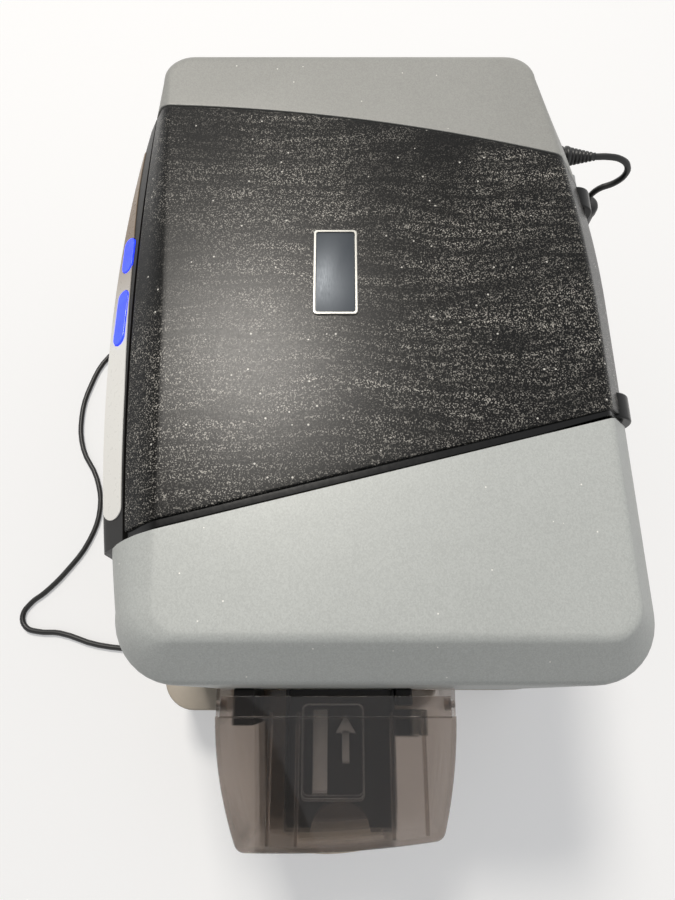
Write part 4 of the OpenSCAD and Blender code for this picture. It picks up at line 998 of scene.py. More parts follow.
@dataclass
class PowerLead:
    """Low-voltage lead from its plug through a ferrite and under the printer to its adapter."""

    diameter: float = 4.0
    loop: tuple[Triple, ...] = (
        (-182.5, 146.5, 190), (-182.5, 155.5, 190), (-182.3, 163.5, 188.2), (-182, 169.6, 183.1),
        (-181.8, 171.2, 175.3), (-181.6, 167, 168.3), (-181.5, 159, 163.1), (-181.5, 155.5, 156.6),
        (-181.5, 155.5, 150))
    run: tuple[Triple, ...] = (
        (-181.5, 155.5, 120), (-181.5, 155.5, 80), (-181.4, 153, 44), (-181, 145, 18), (-180.4, 131, 5.6),
        (-179.8, 117, 3), (-179, 100, 2.5), (-176, 20, 2.2), (-174, -115, 2.2), (-165, -180, 2.2),
        (-143, -209.5, 2.2), (-115, -222, 2.2), (-86, -226, 2.2), (-58, -221, 2.2), (-33, -207, 2.2),
        (-8, -201.3, 2.2), (18, -206.5, 2.2), (42.9, -221.8, 2.2), (58, -235.2, 2.2), (66.1, -244.7, 2.2),
        (75.2, -249.4, 2.2), (83.7, -245.6, 2.2), (86.8, -236.5, 2.2), (87.9, -220, 2.2), (96.5, -190, 2.2),
        (98.6, -155, 2.2), (87, -100, 2.2), (62, 92, 3), (50, 138, 4), (28, 159, 14), (8, 159, 14))
    plug_ends: Pair = (103.4, 146.5)
    plug_radius: float = 6.2
    jack: Pair = (-182.5, 190.0)
    plug_body: tuple[Pair, ...] = ((-1, 0), (-0.3, 0.4), (0, 1.2), (0, 18.5))
    plug_shoulder: tuple[Pair, ...] = ((0, 26), (-0.5, 27))
    grooves: tuple[float, ...] = (19.0, 22.4)
    groove_profile: tuple[Pair, ...] = ((0.0, 0.0), (-1.1, 0.5), (-1.1, 1.6), (0.0, 2.1))
    sleeve_start: float = 27.6
    sleeve_pitch: float = 2.4
    sleeve_ribs: int = 6
    sleeve_wall: float = 0.9
    rib_profile: tuple[Pair, ...] = ((-0.8, 0.0), (0.0, 0.4), (-0.1, 1.5), (-0.8, 1.9))
    ferrite_place: Pair = (-181.5, 155.5)
    ferrite_heights: Pair = (120.0, 150.0)
    ferrite_radius: float = 8.5
    ferrite_bore: tuple[Pair, ...] = ((0, 0), (3.4, 0), (3.6, 0.6))
    ferrite_rim: tuple[Pair, ...] = ((-2, 0.8), (-0.6, 1.5), (0, 3), (0, 7), (-0.5, 7.6))
    seam_half: float = 0.25
    seam_depth: float = 0.7
    seam_end: float = 2.5

    def points(self) -> list[Vector]:
        """The lead's route from the plug to the adapter, straight through the ferrite."""
        return [Vector(p) * MM for p in (*self.loop, *self.run)]

    def lead(self) -> Object:
        """Draw the lead as one smooth curve.

        Returns:
            The lead.
        """
        points = self.points()
        data = bpy.data.curves.new("power_lead", "CURVE")
        data.dimensions = "3D"
        data.resolution_u = 4
        data.bevel_depth = self.diameter / 2 * MM
        data.bevel_resolution = 3
        data.use_fill_caps = True
        spline = data.splines.new("BEZIER")
        spline.bezier_points.add(len(points) - 1)
        for knot, place in zip(spline.bezier_points, points):
            knot.co = place
            knot.handle_left_type = knot.handle_right_type = "AUTO"
        return placed("power_lead", data)

    def turned(self, profile: Sequence[Pair], sides: int = 48) -> Mesh:
        """Turn a profile of radius and height to a closed solid on the Z axis.

        Args:
            profile: Pairs of radius and height, in millimetres.
            sides: Steps of the turn.

        Returns:
            The solid.
        """
        bm = bmesh.new()
        line = [bm.verts.new((r, 0, z)) for r, z in profile]
        edges = [bm.edges.new(pair) for pair in zip(line, line[1:])]
        bmesh.ops.spin(bm, geom=[*line, *edges], cent=(0, 0, 0), axis=(0, 0, 1), angle=math.tau,
                       steps=sides, use_merge=True)
        return sealed(bm)

    def plug(self) -> Object:
        """Make the moulded plug, with two grooves and a ribbed sleeve that tapers down to the lead.

        Returns:
            The plug.
        """
        r, core = self.plug_radius, self.diameter / 2
        low, high = self.plug_ends
        profile = [(0, 0), *((r + dr, z) for dr, z in self.plug_body)]
        profile += [(r + dr, start + dz) for start in self.grooves for dr, dz in self.groove_profile]
        profile += [(r + dr, z) for dr, z in self.plug_shoulder]
        for k, radius in enumerate(steps(r - self.sleeve_wall, core + self.sleeve_wall, self.sleeve_ribs)):
            start = self.sleeve_start + self.sleeve_pitch * k
            profile += [(radius + dr, start + dz) for dr, dz in self.rib_profile]
        profile += [(core + 0.5, high - low), (0, high - low)]
        bm = self.turned(profile)
        place = Matrix.Translation((self.jack[0], low, self.jack[1]))
        bmesh.ops.transform(bm, matrix=place @ Matrix.Rotation(math.radians(-90), 4, "X"), verts=bm.verts)
        return piece(bm, "plug", "casing", Look.JACKET, "power_plug")

    def ferrite(self) -> Object:
        """Make the snap-on ferrite: two half shells with a seam and end collars.

        Returns:
            The ferrite.
        """
        r, (x, y), (low, high) = self.ferrite_radius, self.ferrite_place, self.ferrite_heights
        first = [*self.ferrite_bore, *((r + dr, z) for dr, z in self.ferrite_rim)]
        bm = self.turned([*first, *((radius, high - low - z) for radius, z in reversed(first))])
        bmesh.ops.translate(bm, vec=(x, y, low), verts=bm.verts)
        half, deep, end = self.seam_half, self.seam_depth, self.seam_end
        seams = [block((x - half, y + a, low + end), (x + half, y + b, high - end), 0)
                 for a, b in ((-r - 1, deep - r), (r - deep, r + 1))]
        return piece(bm, "ferrite_shell", "casing", Look.JACKET, "ferrite", cutters=seams)

    def build(self) -> None:
        """Make the lead with its plug and ferrite."""
        plug, ferrite = self.plug(), self.ferrite()
        lead = self.lead()
        settle(lead, "casing", Look.JACKET, "lead_loop", "lead_run")
        self.points()[0]


# Casing

@dataclass
class CasingForm:
    """Outlines that the casing's pieces share: two plan curves, a sloped band and the cuts between black and
    silver."""

    top: float = 249.0
    band: float = 20.0
    crease: float = 3.0
    brow: float = 2.6
    brow_end: float = 4.5
    base_top: float = 62.0
    near_x: float = 128.0
    near_top: float = 111.0
    far_x: float = -217.5
    far_top: float = -195.5
    front_y: float = -121.0
    front_bow: float = 0.000635
    front_middle: float = -48.5
    front_slope: Pair = (26.3, 0.0575)
    back_y: float = 121.5
    back_bow: float = 0.00105
    back_bow_from: float = -52.5
    back_slope: Triple = (13.5, 0.0006, -22.5)
    near_line: Pair = (44.75, -0.2535)
    far_line: Pair = (-144.5, 0.163)
    far_bow: Pair = (7.0, 104.5)
    corner_r: float = 28.0
    crease_r: float = 14.0
    wall: float = 2.6
    gap: float = 0.8
    proud: float = 4.0
    strip_z: float = 240.0
    end_front: tuple[Pair, ...] = ((0, 0), (0.3, 0.1), (0.55, 0.26), (0.75, 0.46), (0.9, 0.7), (1, 1))
    mid_front: tuple[Pair, ...] = ((0, 0), (0.55, 0.5), (0.85, 0.8), (1, 1))

    @property
    def band_z(self) -> float:
        """Height where the sloped band starts."""
        return self.top - self.band

    def height(self, t: float) -> float:
        """Height at a share t of the sloped band."""
        return self.band_z + t * self.band

    def front_out(self, x: float) -> float:
        """Front wall in plan."""
        return self.front_y + self.front_bow * (x - self.front_middle) ** 2

    def front_top(self, x: float) -> float:
        """Front edge of the top in plan."""
        return self.front_y + self.front_slope[0] + self.front_slope[1] * x

    def back_out(self, x: float) -> float:
        """Back wall in plan."""
        return self.back_y - self.back_bow * min(x - self.back_bow_from, 0) ** 2

    def back_top(self, x: float) -> float:
        """Back edge of the top in plan."""
        inset, bow, bow_from = self.back_slope
        return self.back_y - inset - bow * min(x - bow_from, 0) ** 2

    def near_cut(self, y: float) -> float:
        """Straight cut between the black middle and the silver end that carries the hopper."""
        return self.near_line[0] + self.near_line[1] * y

    def far_cut(self, y: float) -> float:
        """Curved cut between the black middle and the far silver end."""
        depth, half = self.far_bow
        return self.far_line[0] + self.far_line[1] * y - depth * (1 - (y / half) ** 2)

    def front(self, x: float, t: float, middle: bool) -> float:
        """Front surface at a share t of the band's height.

        Args:
            x: Place along the body.
            t: Share of the band's height.
            middle: True on the black middle, which stands proud.

        Returns:
            Y of the surface.
        """
        share = along(self.mid_front if middle else self.end_front, t)
        out = self.front_out(x) - (self.proud if middle else 0)
        return mix(out, self.front_top(x), share)

    def back(self, x: float, t: float) -> float:
        """Back surface at a share t of the band's height."""
        return mix(self.back_out(x), self.back_top(x), t)

    def row(self, line: Line, start: Path, end: Path, count: int) -> Row:
        """Points along a line of the middle, from one plan cut to another.

        Args:
            line: Y over X, and height.
            start: X over Y of the first cut.
            end: X over Y of the last cut.
            count: How many points.

        Returns:
            The points.
        """
        path, z = line
        made = []
        for u in steps(0, 1, count):
            x = 0.0
            for _ in range(SETTLE_STEPS):
                x = mix(start(path(x)), end(path(x)), u)
            made.append(Vector((x, path(x), z)))
        return made


class End(Enum):
    """The two silver ends."""

    NEAR = 1
    FAR = -1


@dataclass
class SilverEnd:
    """One silver end casing: walls, sloped band with soft creases, and top up to its cut."""

    form: CasingForm
    end: End
    look: Look
    wall_rows: tuple[float, ...] = (110.0, 160.0, 204.0)
    band_rows: tuple[float, ...] = (0.12, 0.3, 0.42, 0.55, 0.65, 0.75, 0.83, 0.9)
    tuck: float = 2.0
    rear_zone: tuple[Triple, Triple] = ((-196.0, 80.0, 57.0), (100.0, 140.0, 204.0))
    slot_x: Pair = (98.0, 138.0)
    slot_y: Pair = (-41.5, 18.5)
    slot_heights: tuple[Pair, ...] = ((116, 130), (90, 102))
    side_steps: int = 16

    def cut(self, y: float) -> float:
        """Plan line of this end's cut."""
        return self.form.near_cut(y) if self.end is End.NEAR else self.form.far_cut(y)

    def ring(self, t: float, inset: float, z: float) -> Row:
        """Path at one height from the front cut round the end to the back cut.

        Args:
            t: Share of the sloped band, 0 at the wall and 1 at the top.
            inset: How far the path lies inside the outline.
            z: Height of the path.

        Returns:
            Points of the path.
        """
        form, side = self.form, self.end.value
        outer, inner = (form.near_x, form.near_top) if self.end is End.NEAR else (form.far_x, form.far_top)
        x_end = mix(outer, inner, t) - side * inset
        radius = max(mix(form.corner_r, form.crease_r, t) - inset, 1.0)
        x_turn = x_end - side * radius

        def front(x: float) -> float:
            """Front side of this path."""
            return form.front(x, t, False) + inset

        def back(x: float) -> float:
            """Back side of this path."""
            return form.back(x, t) - inset

        def start(line: Path) -> float:
            """Find where the path meets the cut.

            Args:
                line: Y over X of the path's side.

            Returns:
                X of that place.
            """
            x = self.cut(line(0))
            for _ in range(SETTLE_STEPS):
                x = self.cut(line(x))
            return x

        y_front, y_back, count = front(x_turn) + radius, back(x_turn) - radius, self.side_steps + 1
        points = [(x, front(x)) for x in steps(start(front), x_turn, count)[:-1]]
        points += arc(x_turn, y_front, radius, -90, -90 + side * 90)
        points += [(x_end, y) for y in steps(y_front, y_back, count)[1:-1]]
        points += arc(x_turn, y_back, radius, 90 - side * 90, 90)
        points += [(x, back(x)) for x in steps(x_turn, start(back), count)[1:]]
        return level(points, z)

    def rows(self) -> list[Row]:
        """Draw all paths from the bottom edge up to the cut across the top.

        Returns:
            The paths.
        """
        form, high, t = self.form, self.form.top, self.band_rows[0]
        made = [self.ring(0, 0, z) for z in (form.base_top, *self.wall_rows, form.band_z - form.crease)]
        made += rounded_rows(made[-1], self.ring(0, 0, form.band_z), self.ring(t, 0, form.height(t)), 3)
        made += [self.ring(t, 0, form.height(t)) for t in self.band_rows]
        made += rounded_rows(made[-1], self.ring(1, 0, high), self.ring(1, form.brow, high), 4)
        made += [self.ring(1, inset, high) for inset in (form.brow, form.brow_end)]
        last = made[-1]
        y0, y1, half = last[0].y, last[-1].y, self.tuck / 2
        edge = [Vector((self.cut(y), y, high)) for y in steps(y0 + self.tuck, y1 - self.tuck, len(last))]
        between = [a.lerp(b, 0.5) for a, b in zip(last, edge)]
        between[0] = Vector((self.cut(y0 + half), y0 + half, high))
        between[-1] = Vector((self.cut(y1 - half), y1 - half, high))
        return [*made, between, edge]

    def openings(self) -> list[Mesh]:
        """Make room for the rear panel and the card slots.

        Returns:
            Solids to take out of the wall.
        """
        (x0, y0, z0), (x1, y1, z1) = self.rear_zone
        gap = self.form.gap
        cuts = [block((x0 - gap, y0, z0), (x1 + gap, y1, z1 + gap), edge=0)]
        if self.end is End.NEAR:
            (x0, x1), (y0, y1) = self.slot_x, self.slot_y
            cuts += [block((x0, y0, low), (x1, y1, high), edge=1.0) for low, high in self.slot_heights]
        return cuts

    def build(self) -> None:
        """Make the end casing."""
        side = self.end.name.lower()
        piece(bent_grid(self.rows(), UP), f"{side}_end", "casing", self.look, f"end_casing_{side}",
              wall=self.form.wall, cutters=self.openings(), rounding=0.45)


@dataclass
class TopCover:
    """Black hinged cover with its sunk rim, hinge ears and the posts for the steel frame inside."""

    form: CasingForm
    front_rows: tuple[float, ...] = (0.55, 0.62, 0.7, 0.78, 0.85, 0.91)
    back_rows: tuple[float, ...] = (0.88, 0.7, 0.5, 0.3, 0.12)
    bend_shares: Triple = (0.25, 0.5, 0.75)
    top_rows: int = 15
    columns: int = 44
    low: float = 217.0
    rim_w: float = 3.6
    rim_d: float = 1.4
    rim_under: float = 1.5
    rim_wall: float = 1.1
    hinge: Pair = (114.0, 226.0)
    ear_length: float = 13.0
    near_ear_r: float = 11.0
    far_ear_r: float = 8.0
    swing_gap: float = 1.2
    swing_y: Pair = (75.0, 110.0)
    post_places: tuple[Pair, ...] = ((-60, -66), (-60, 60), (14, -66), (14, 60))
    post_heights: Pair = (233.6, 247.0)
    post_r: float = 4.0
    badge_box: tuple[float, float, float, float] = (-81.0, -24.5, -34.0, -3.5)
    badge_frame: Pair = (-0.3, 0.9)
    badge_floor: Pair = (0.35, 3.0)
    badge_inlay: Pair = (0.1, 0.42)

    def side_gap(self, y: float) -> float:
        """Gap beside the cover, wider towards the hinge, where its sides swing past the silver ends."""
        share = (y - self.swing_y[0]) / (self.swing_y[1] - self.swing_y[0])
        return self.form.gap + self.swing_gap * min(max(share, 0.0), 1.0)

    def rounded_lines(self, first: Line, corner: Line, last: Line) -> list[Line]:
        """Lines that round off the corner line between the first and the last.

        Args:
            first: Line before the corner.
            corner: Line on the sharp corner.
            last: Line after the corner.

        Returns:
            The lines between first and last.
        """
        return [(lambda x, s=s: bend(first[0](x), corner[0](x), last[0](x), s),
                 bend(first[1], corner[1], last[1], s)) for s in self.bend_shares]

    def lines(self) -> list[Line]:
        """Draw the lines across the cover, from its front edge over the top and down to the hinge side.

        Returns:
            The lines.
        """
        form = self.form
        fronts = [(lambda x, t=t: form.front(x, t, True), form.height(t)) for t in self.front_rows]
        backs = [(lambda x, t=t: form.back(x, t), form.height(t)) for t in self.back_rows]
        tops = [(lambda x, s=s: mix(form.front_top(x) + form.brow_end, form.back_top(x) - form.brow_end, s),
                 form.top) for s in steps(0, 1, self.top_rows)]
        front_brow = (lambda x: form.front_top(x) + form.brow, form.top)
        back_brow = (lambda x: form.back_top(x) - form.brow, form.top)
        wall = (form.back_out, form.band_z - form.crease)
        return [*fronts, *self.rounded_lines(fronts[-1], (form.front_top, form.top), front_brow), front_brow,
                *tops, back_brow, *self.rounded_lines(back_brow, (form.back_top, form.top), backs[0]),
                *backs, *self.rounded_lines(backs[-1], (form.back_out, form.band_z), wall),
                wall, (form.back_out, self.low)]

    def grid(self, start: Path, end: Path, count: int) -> list[Row]:
        """Rows of the cover between two plan lines."""
        return [self.form.row(line, start, end, count) for line in self.lines()]

    def sunk(self, rows: list[Row], depth: float) -> list[Row]:
        """Move rows into the cover, square to its surface.

        Args:
            rows: Rows on the cover's surface.
            depth: How far they go in.

        Returns:
            The moved rows.
        """
        made = []
        for j, row in enumerate(rows):
            before, after = rows[max(j - 1, 0)], rows[min(j + 1, len(rows) - 1)]
            runs = [b - a for a, b in zip(before, after)]
            made.append([point + Vector((0, run.z, -run.y)).normalized() * depth
                         for point, run in zip(row, runs)])
        return made

    def skin(self) -> None:
        """The textured shell."""
        form = self.form
        rows = self.grid(lambda y: form.far_cut(y) + self.side_gap(y),
                         lambda y: form.near_cut(y) - form.gap - self.rim_w, self.columns)
        piece(bent_grid(rows, UP), "cover_shell", "cover", Look.BLACK_SHELL, "top_cover",
              wall=form.wall, rounding=0.6, segments=3)

    def rim(self) -> None:
        """The sunk rim beside the silver end that carries the hopper."""
        form = self.form
        rows = self.grid(lambda y: form.near_cut(y) - form.gap - self.rim_w - self.rim_under,
                         lambda y: form.near_cut(y) - self.side_gap(y), 3)
        piece(bent_grid(self.sunk(rows, self.rim_d), UP), "cover_rim", "cover", Look.BLACK_RIM,
              wall=self.rim_wall, rounding=0.3)

    def fittings(self) -> None:
        """Hinge ears at the back and the posts that hold the steel frame."""
        form = self.form
        y, z = self.hinge
        near = form.near_cut(y + self.near_ear_r) - form.gap - self.ear_length
        far = form.far_cut(y + self.far_ear_r) + form.gap
        parts = [drum((x, y, z), (x + self.ear_length, y, z), radius, edge=0.9, sides=64)
                 for x, radius in ((near, self.near_ear_r), (far, self.far_ear_r))]
        low, high = self.post_heights
        parts += [drum((*place, low), (*place, high), self.post_r, edge=0.3, sides=32)
                  for place in self.post_places]
        piece(joined(*parts), "cover_ears", "cover", Look.BLACK_RIM)

    def badge_outline(self, inset: float, radius: float) -> list[Pair]:
        """Outline of the badge, or of a smaller one inside it."""
        x0, y0, x1, y1 = self.badge_box
        return rounded_outline(x0 + inset, y0 + inset, x1 - inset, y1 - inset, radius)

    def badge(self) -> None:
        """Bare plate in a bright frame."""
        frame, floor, inlay = ([self.form.top + z for z in heights]
                               for heights in (self.badge_frame, self.badge_floor, self.badge_inlay))
        hollow = prism(self.badge_outline(inset=1.2, radius=1.2), *floor)
        piece(prism(self.badge_outline(inset=0, radius=1.8), *frame, edge=0.25), "badge_frame", "cover",
              Look.BADGE, "badge_plate", cutters=[hollow], rounding=0.12)
        plate = prism(self.badge_outline(inset=1.1, radius=1.2), *inlay, edge=0.1)
        settle(as_object(plate, "badge_inlay"), "cover", Look.BADGE_PLATE)

    def build(self) -> None:
        """Make the cover."""
        self.skin()
        self.rim()
        self.fittings()
        self.badge()


@dataclass
class FrontPanel:
    """Black front with its light strip and two lit buttons."""

    form: CasingForm
    wall_rows: tuple[float, ...] = (110.0, 170.0)
    band_rows: tuple[float, ...] = (0.1, 0.2, 0.3, 0.4)
    columns: int = 41
    panel_wall: float = 3.4
    strip: Pair = (-146.0, 60.0)
    strip_low: float = 230.0
    strip_step: float = 1.5
    strip_lead: Pair = (70.0, 60.0)
    strip_grid: tuple[int, int] = (60, 9)
    tip_angles: tuple[float, ...] = (15, 30, 45, 60, 75, 86)
    strip_tip: float = 5.0
    strip_tip_least: float = 0.004
    strip_wall: float = 1.5
    strip_proud: float = 0.4
    slope: Pair = (11.0, 13.9)
    button_width: float = 8.0
    button_gap: float = 0.35
    button_reach: Pair = (-3.2, 0.95)
    buttons: tuple[tuple[str, float, float], ...] = (("pause", -77.0, 20.0), ("power", -41.0, 30.0))

    def panel(self) -> None:
        """Black panel from the base up to the cover's front edge."""
        form, half = self.form, self.form.gap / 2

        def row(t: float, z: float) -> Row:
            """One line across the panel."""
            return form.row((lambda x: form.front(x, t, True), z), lambda y: form.far_cut(y) + half,
                            lambda y: form.near_cut(y) - half, self.columns)

        last = (form.strip_z - form.gap - form.band_z) / form.band
        slope = [row(t, form.height(t)) for t in (*self.band_rows, last)]
        rows = [row(0.0, z) for z in (form.base_top, *self.wall_rows, form.band_z - form.crease)]
        rows += rounded_rows(rows[-1], row(0.0, form.band_z), slope[0], 3)
        piece(bent_grid([*rows, *slope], FRONT), "front_shell", "casing", Look.DARK_PANEL, "front_panel",
              wall=self.panel_wall, cutters=self.holes(depth=8), rounding=0.5)

    def strip_edges(self, x: float) -> Pair:
        """Read off the lower and upper height of the light strip.

        Args:
            x: Place along the body.

        Returns:
            The two heights.
        """
        x0, x1 = self.strip
        low, tip = self.strip_low, self.strip_tip
        step, (rise, fall) = self.strip_step, self.strip_lead
        high = self.form.strip_z - step
        if x > x1 - tip:
            share = math.sqrt(max(1 - ((x - x1 + tip) / tip) ** 2, self.strip_tip_least))
            middle, half = (high + low) / 2, (high - low) / 2 * share
            return middle - half, middle + half
        return low, along(((x0, low + step), (x0 + rise, high - step), (x1 - fall, high), (x1, high)), x)

    def lie(self, x: float, z: float, proud: float) -> Vector:
        """Find a point that stands a little out of the sloped front.

        Args:
            x: Place along the body.
            z: Height.
            proud: How far it stands out.

        Returns:
            The point.
        """
        tilt = math.atan2(*self.slope)
        y = self.form.front(x, (z - self.form.band_z) / self.form.band, True)
        return Vector((x, y - proud * math.sin(tilt), z + proud * math.cos(tilt)))

    def button_frame(self, x: float) -> Matrix:
        """Place and slope of a button, halfway up the front's first slope.

        Args:
            x: Middle of the button along the body.

        Returns:
            Its place and turn.
        """
        form = self.form
        rise, run = form.mid_front[1]
        tilt = math.atan2(rise * form.band,
                          run * (form.front_top(form.front_middle) - form.front_y + form.proud))
        y = mix(form.front_out(x) - form.proud, form.front_top(x), run / 2)
        return Matrix.Translation((x, y, form.height(rise / 2))) @ Matrix.Rotation(tilt, 4, "X")

    def pill(self, x: float, long: float, extra: float, reach: Pair, edge: float = 0.0) -> Mesh:
        """A bar with round ends, square to the strip.

        Args:
            x: Its middle along the body.
            long: Its length.
            extra: How much larger it is all round.
            reach: Its inner and outer end, from the strip's surface.
            edge: Rounding of its rims.

        Returns:
            The bar.
        """
        radius, end = self.button_width / 2 + extra, long / 2 + extra
        bm = prism(rounded_outline(-end, -radius, end, radius, radius - 0.01, 10), *reach, edge, segments=3)
        bmesh.ops.transform(bm, matrix=self.button_frame(x), verts=bm.verts)
        return bm

    def holes(self, depth: float) -> list[Mesh]:
        """Solids that make room for the buttons in what they pass through."""
        return [self.pill(x, long, self.button_gap, (-depth, depth)) for _, x, long in self.buttons]

    def light(self) -> None:
        """Frosted light strip with the holes for the buttons."""
        x0, x1 = self.strip[0], self.strip[1] - self.strip_tip
        tip = [x1 + self.strip_tip * math.sin(math.radians(a)) for a in self.tip_angles]
        columns, count = self.strip_grid
        places = [*steps(x0, x1, columns), *tip]
        rows = [[self.lie(x, mix(*self.strip_edges(x), v), self.strip_proud) for x in places]
                for v in steps(0, 1, count)]
        piece(bent_grid(rows, FRONT), "light_bar", "casing", Look.STRIP, "light_strip",
              wall=self.strip_wall, cutters=self.holes(depth=6), rounding=0.2)

    def keys(self) -> None:
        """The two lit buttons."""
        for name, x, long in self.buttons:
            cap = self.pill(x, long, 0, self.button_reach, edge=0.5)
            piece(cap, f"{name}_key", name, Look.LENS, f"{name}_button")

    def build(self) -> None:
        """Make the front."""
        self.panel()
        self.light()
        self.keys()


@dataclass
class BaseTray:
    """Warm grey base under the casing, with an apron under the hopper."""

    form: CasingForm
    foot_h: float = 10.0
    proud: float = 3.0
    apron: float = 12.5
    apron_y: float = 52.0
    corner: float = 20.0
    side_count: int = 24
    bottom: tuple[Pair, ...] = ((3, 0), (1.2, 0.3), (0.3, 1.2), (0, 3))
    rim: tuple[Pair, ...] = ((0, 1), (0.3, 0.3), (1, 0))
    wall: float = 3.0
    ledge: float = 5.0

    def edge(self, inset: float) -> list[Pair]:
        """Outline of the base, anticlockwise from the far end of its front.

        Args:
            inset: How far the line lies inside the outer one.

        Returns:
            The points.
        """
        form, radius = self.form, self.corner - inset
        near, far, y_front = form.near_x - inset, form.far_x + inset, form.front_y - self.proud
        x1, y1 = near + self.apron, self.apron_y - inset
        outline = []
        for x in steps(far + radius, x1 - radius, self.side_count):
            outline.append((x, y_front + form.front_bow * min(x - form.front_middle, 0) ** 2 + inset))
        outline += [*arc(x1 - radius, y_front + self.corner, radius, -80, 0, 8), (x1, y1 - radius),
                    *arc(x1 - radius, y1 - radius, radius, 10, 90, 8), (near + 0.01, y1),
                    *arc(near - radius, form.back_y - self.corner, radius, 0, 90, 9)]
        for x in steps(near - radius, far + radius, self.side_count)[1:]:
            outline.append((x, form.back_out(x) - inset))
        y_back, y_low = outline[-1][1] - radius, outline[0][1] + radius
        return [*outline, *arc(far + radius, y_back, radius, 100, 180, 8),
                *arc(far + radius, y_low, radius, 180, 260, 8)]

    def build(self) -> None:
        """Make the base: one run of walls, up the outside, over the rim and down the inside to the floor."""
        low, high, deep = self.foot_h, self.form.base_top, self.wall
        rows = [level(self.edge(inset), low + z) for inset, z in self.bottom]
        rows += [level(self.edge(inset), high - z) for inset, z in self.rim]
        lip = [(min(x, self.form.near_x - self.ledge), y) for x, y in self.edge(deep + 1)]
        rows += [level(lip, high), level(lip, high - deep)]
        rows += [level(self.edge(deep), z) for z in (high - deep, low + deep)]
        piece(bent_grid(rows, UP, closed=True), "base_shell", "casing", Look.BASE_GREY, "base_tray")


# Hopper

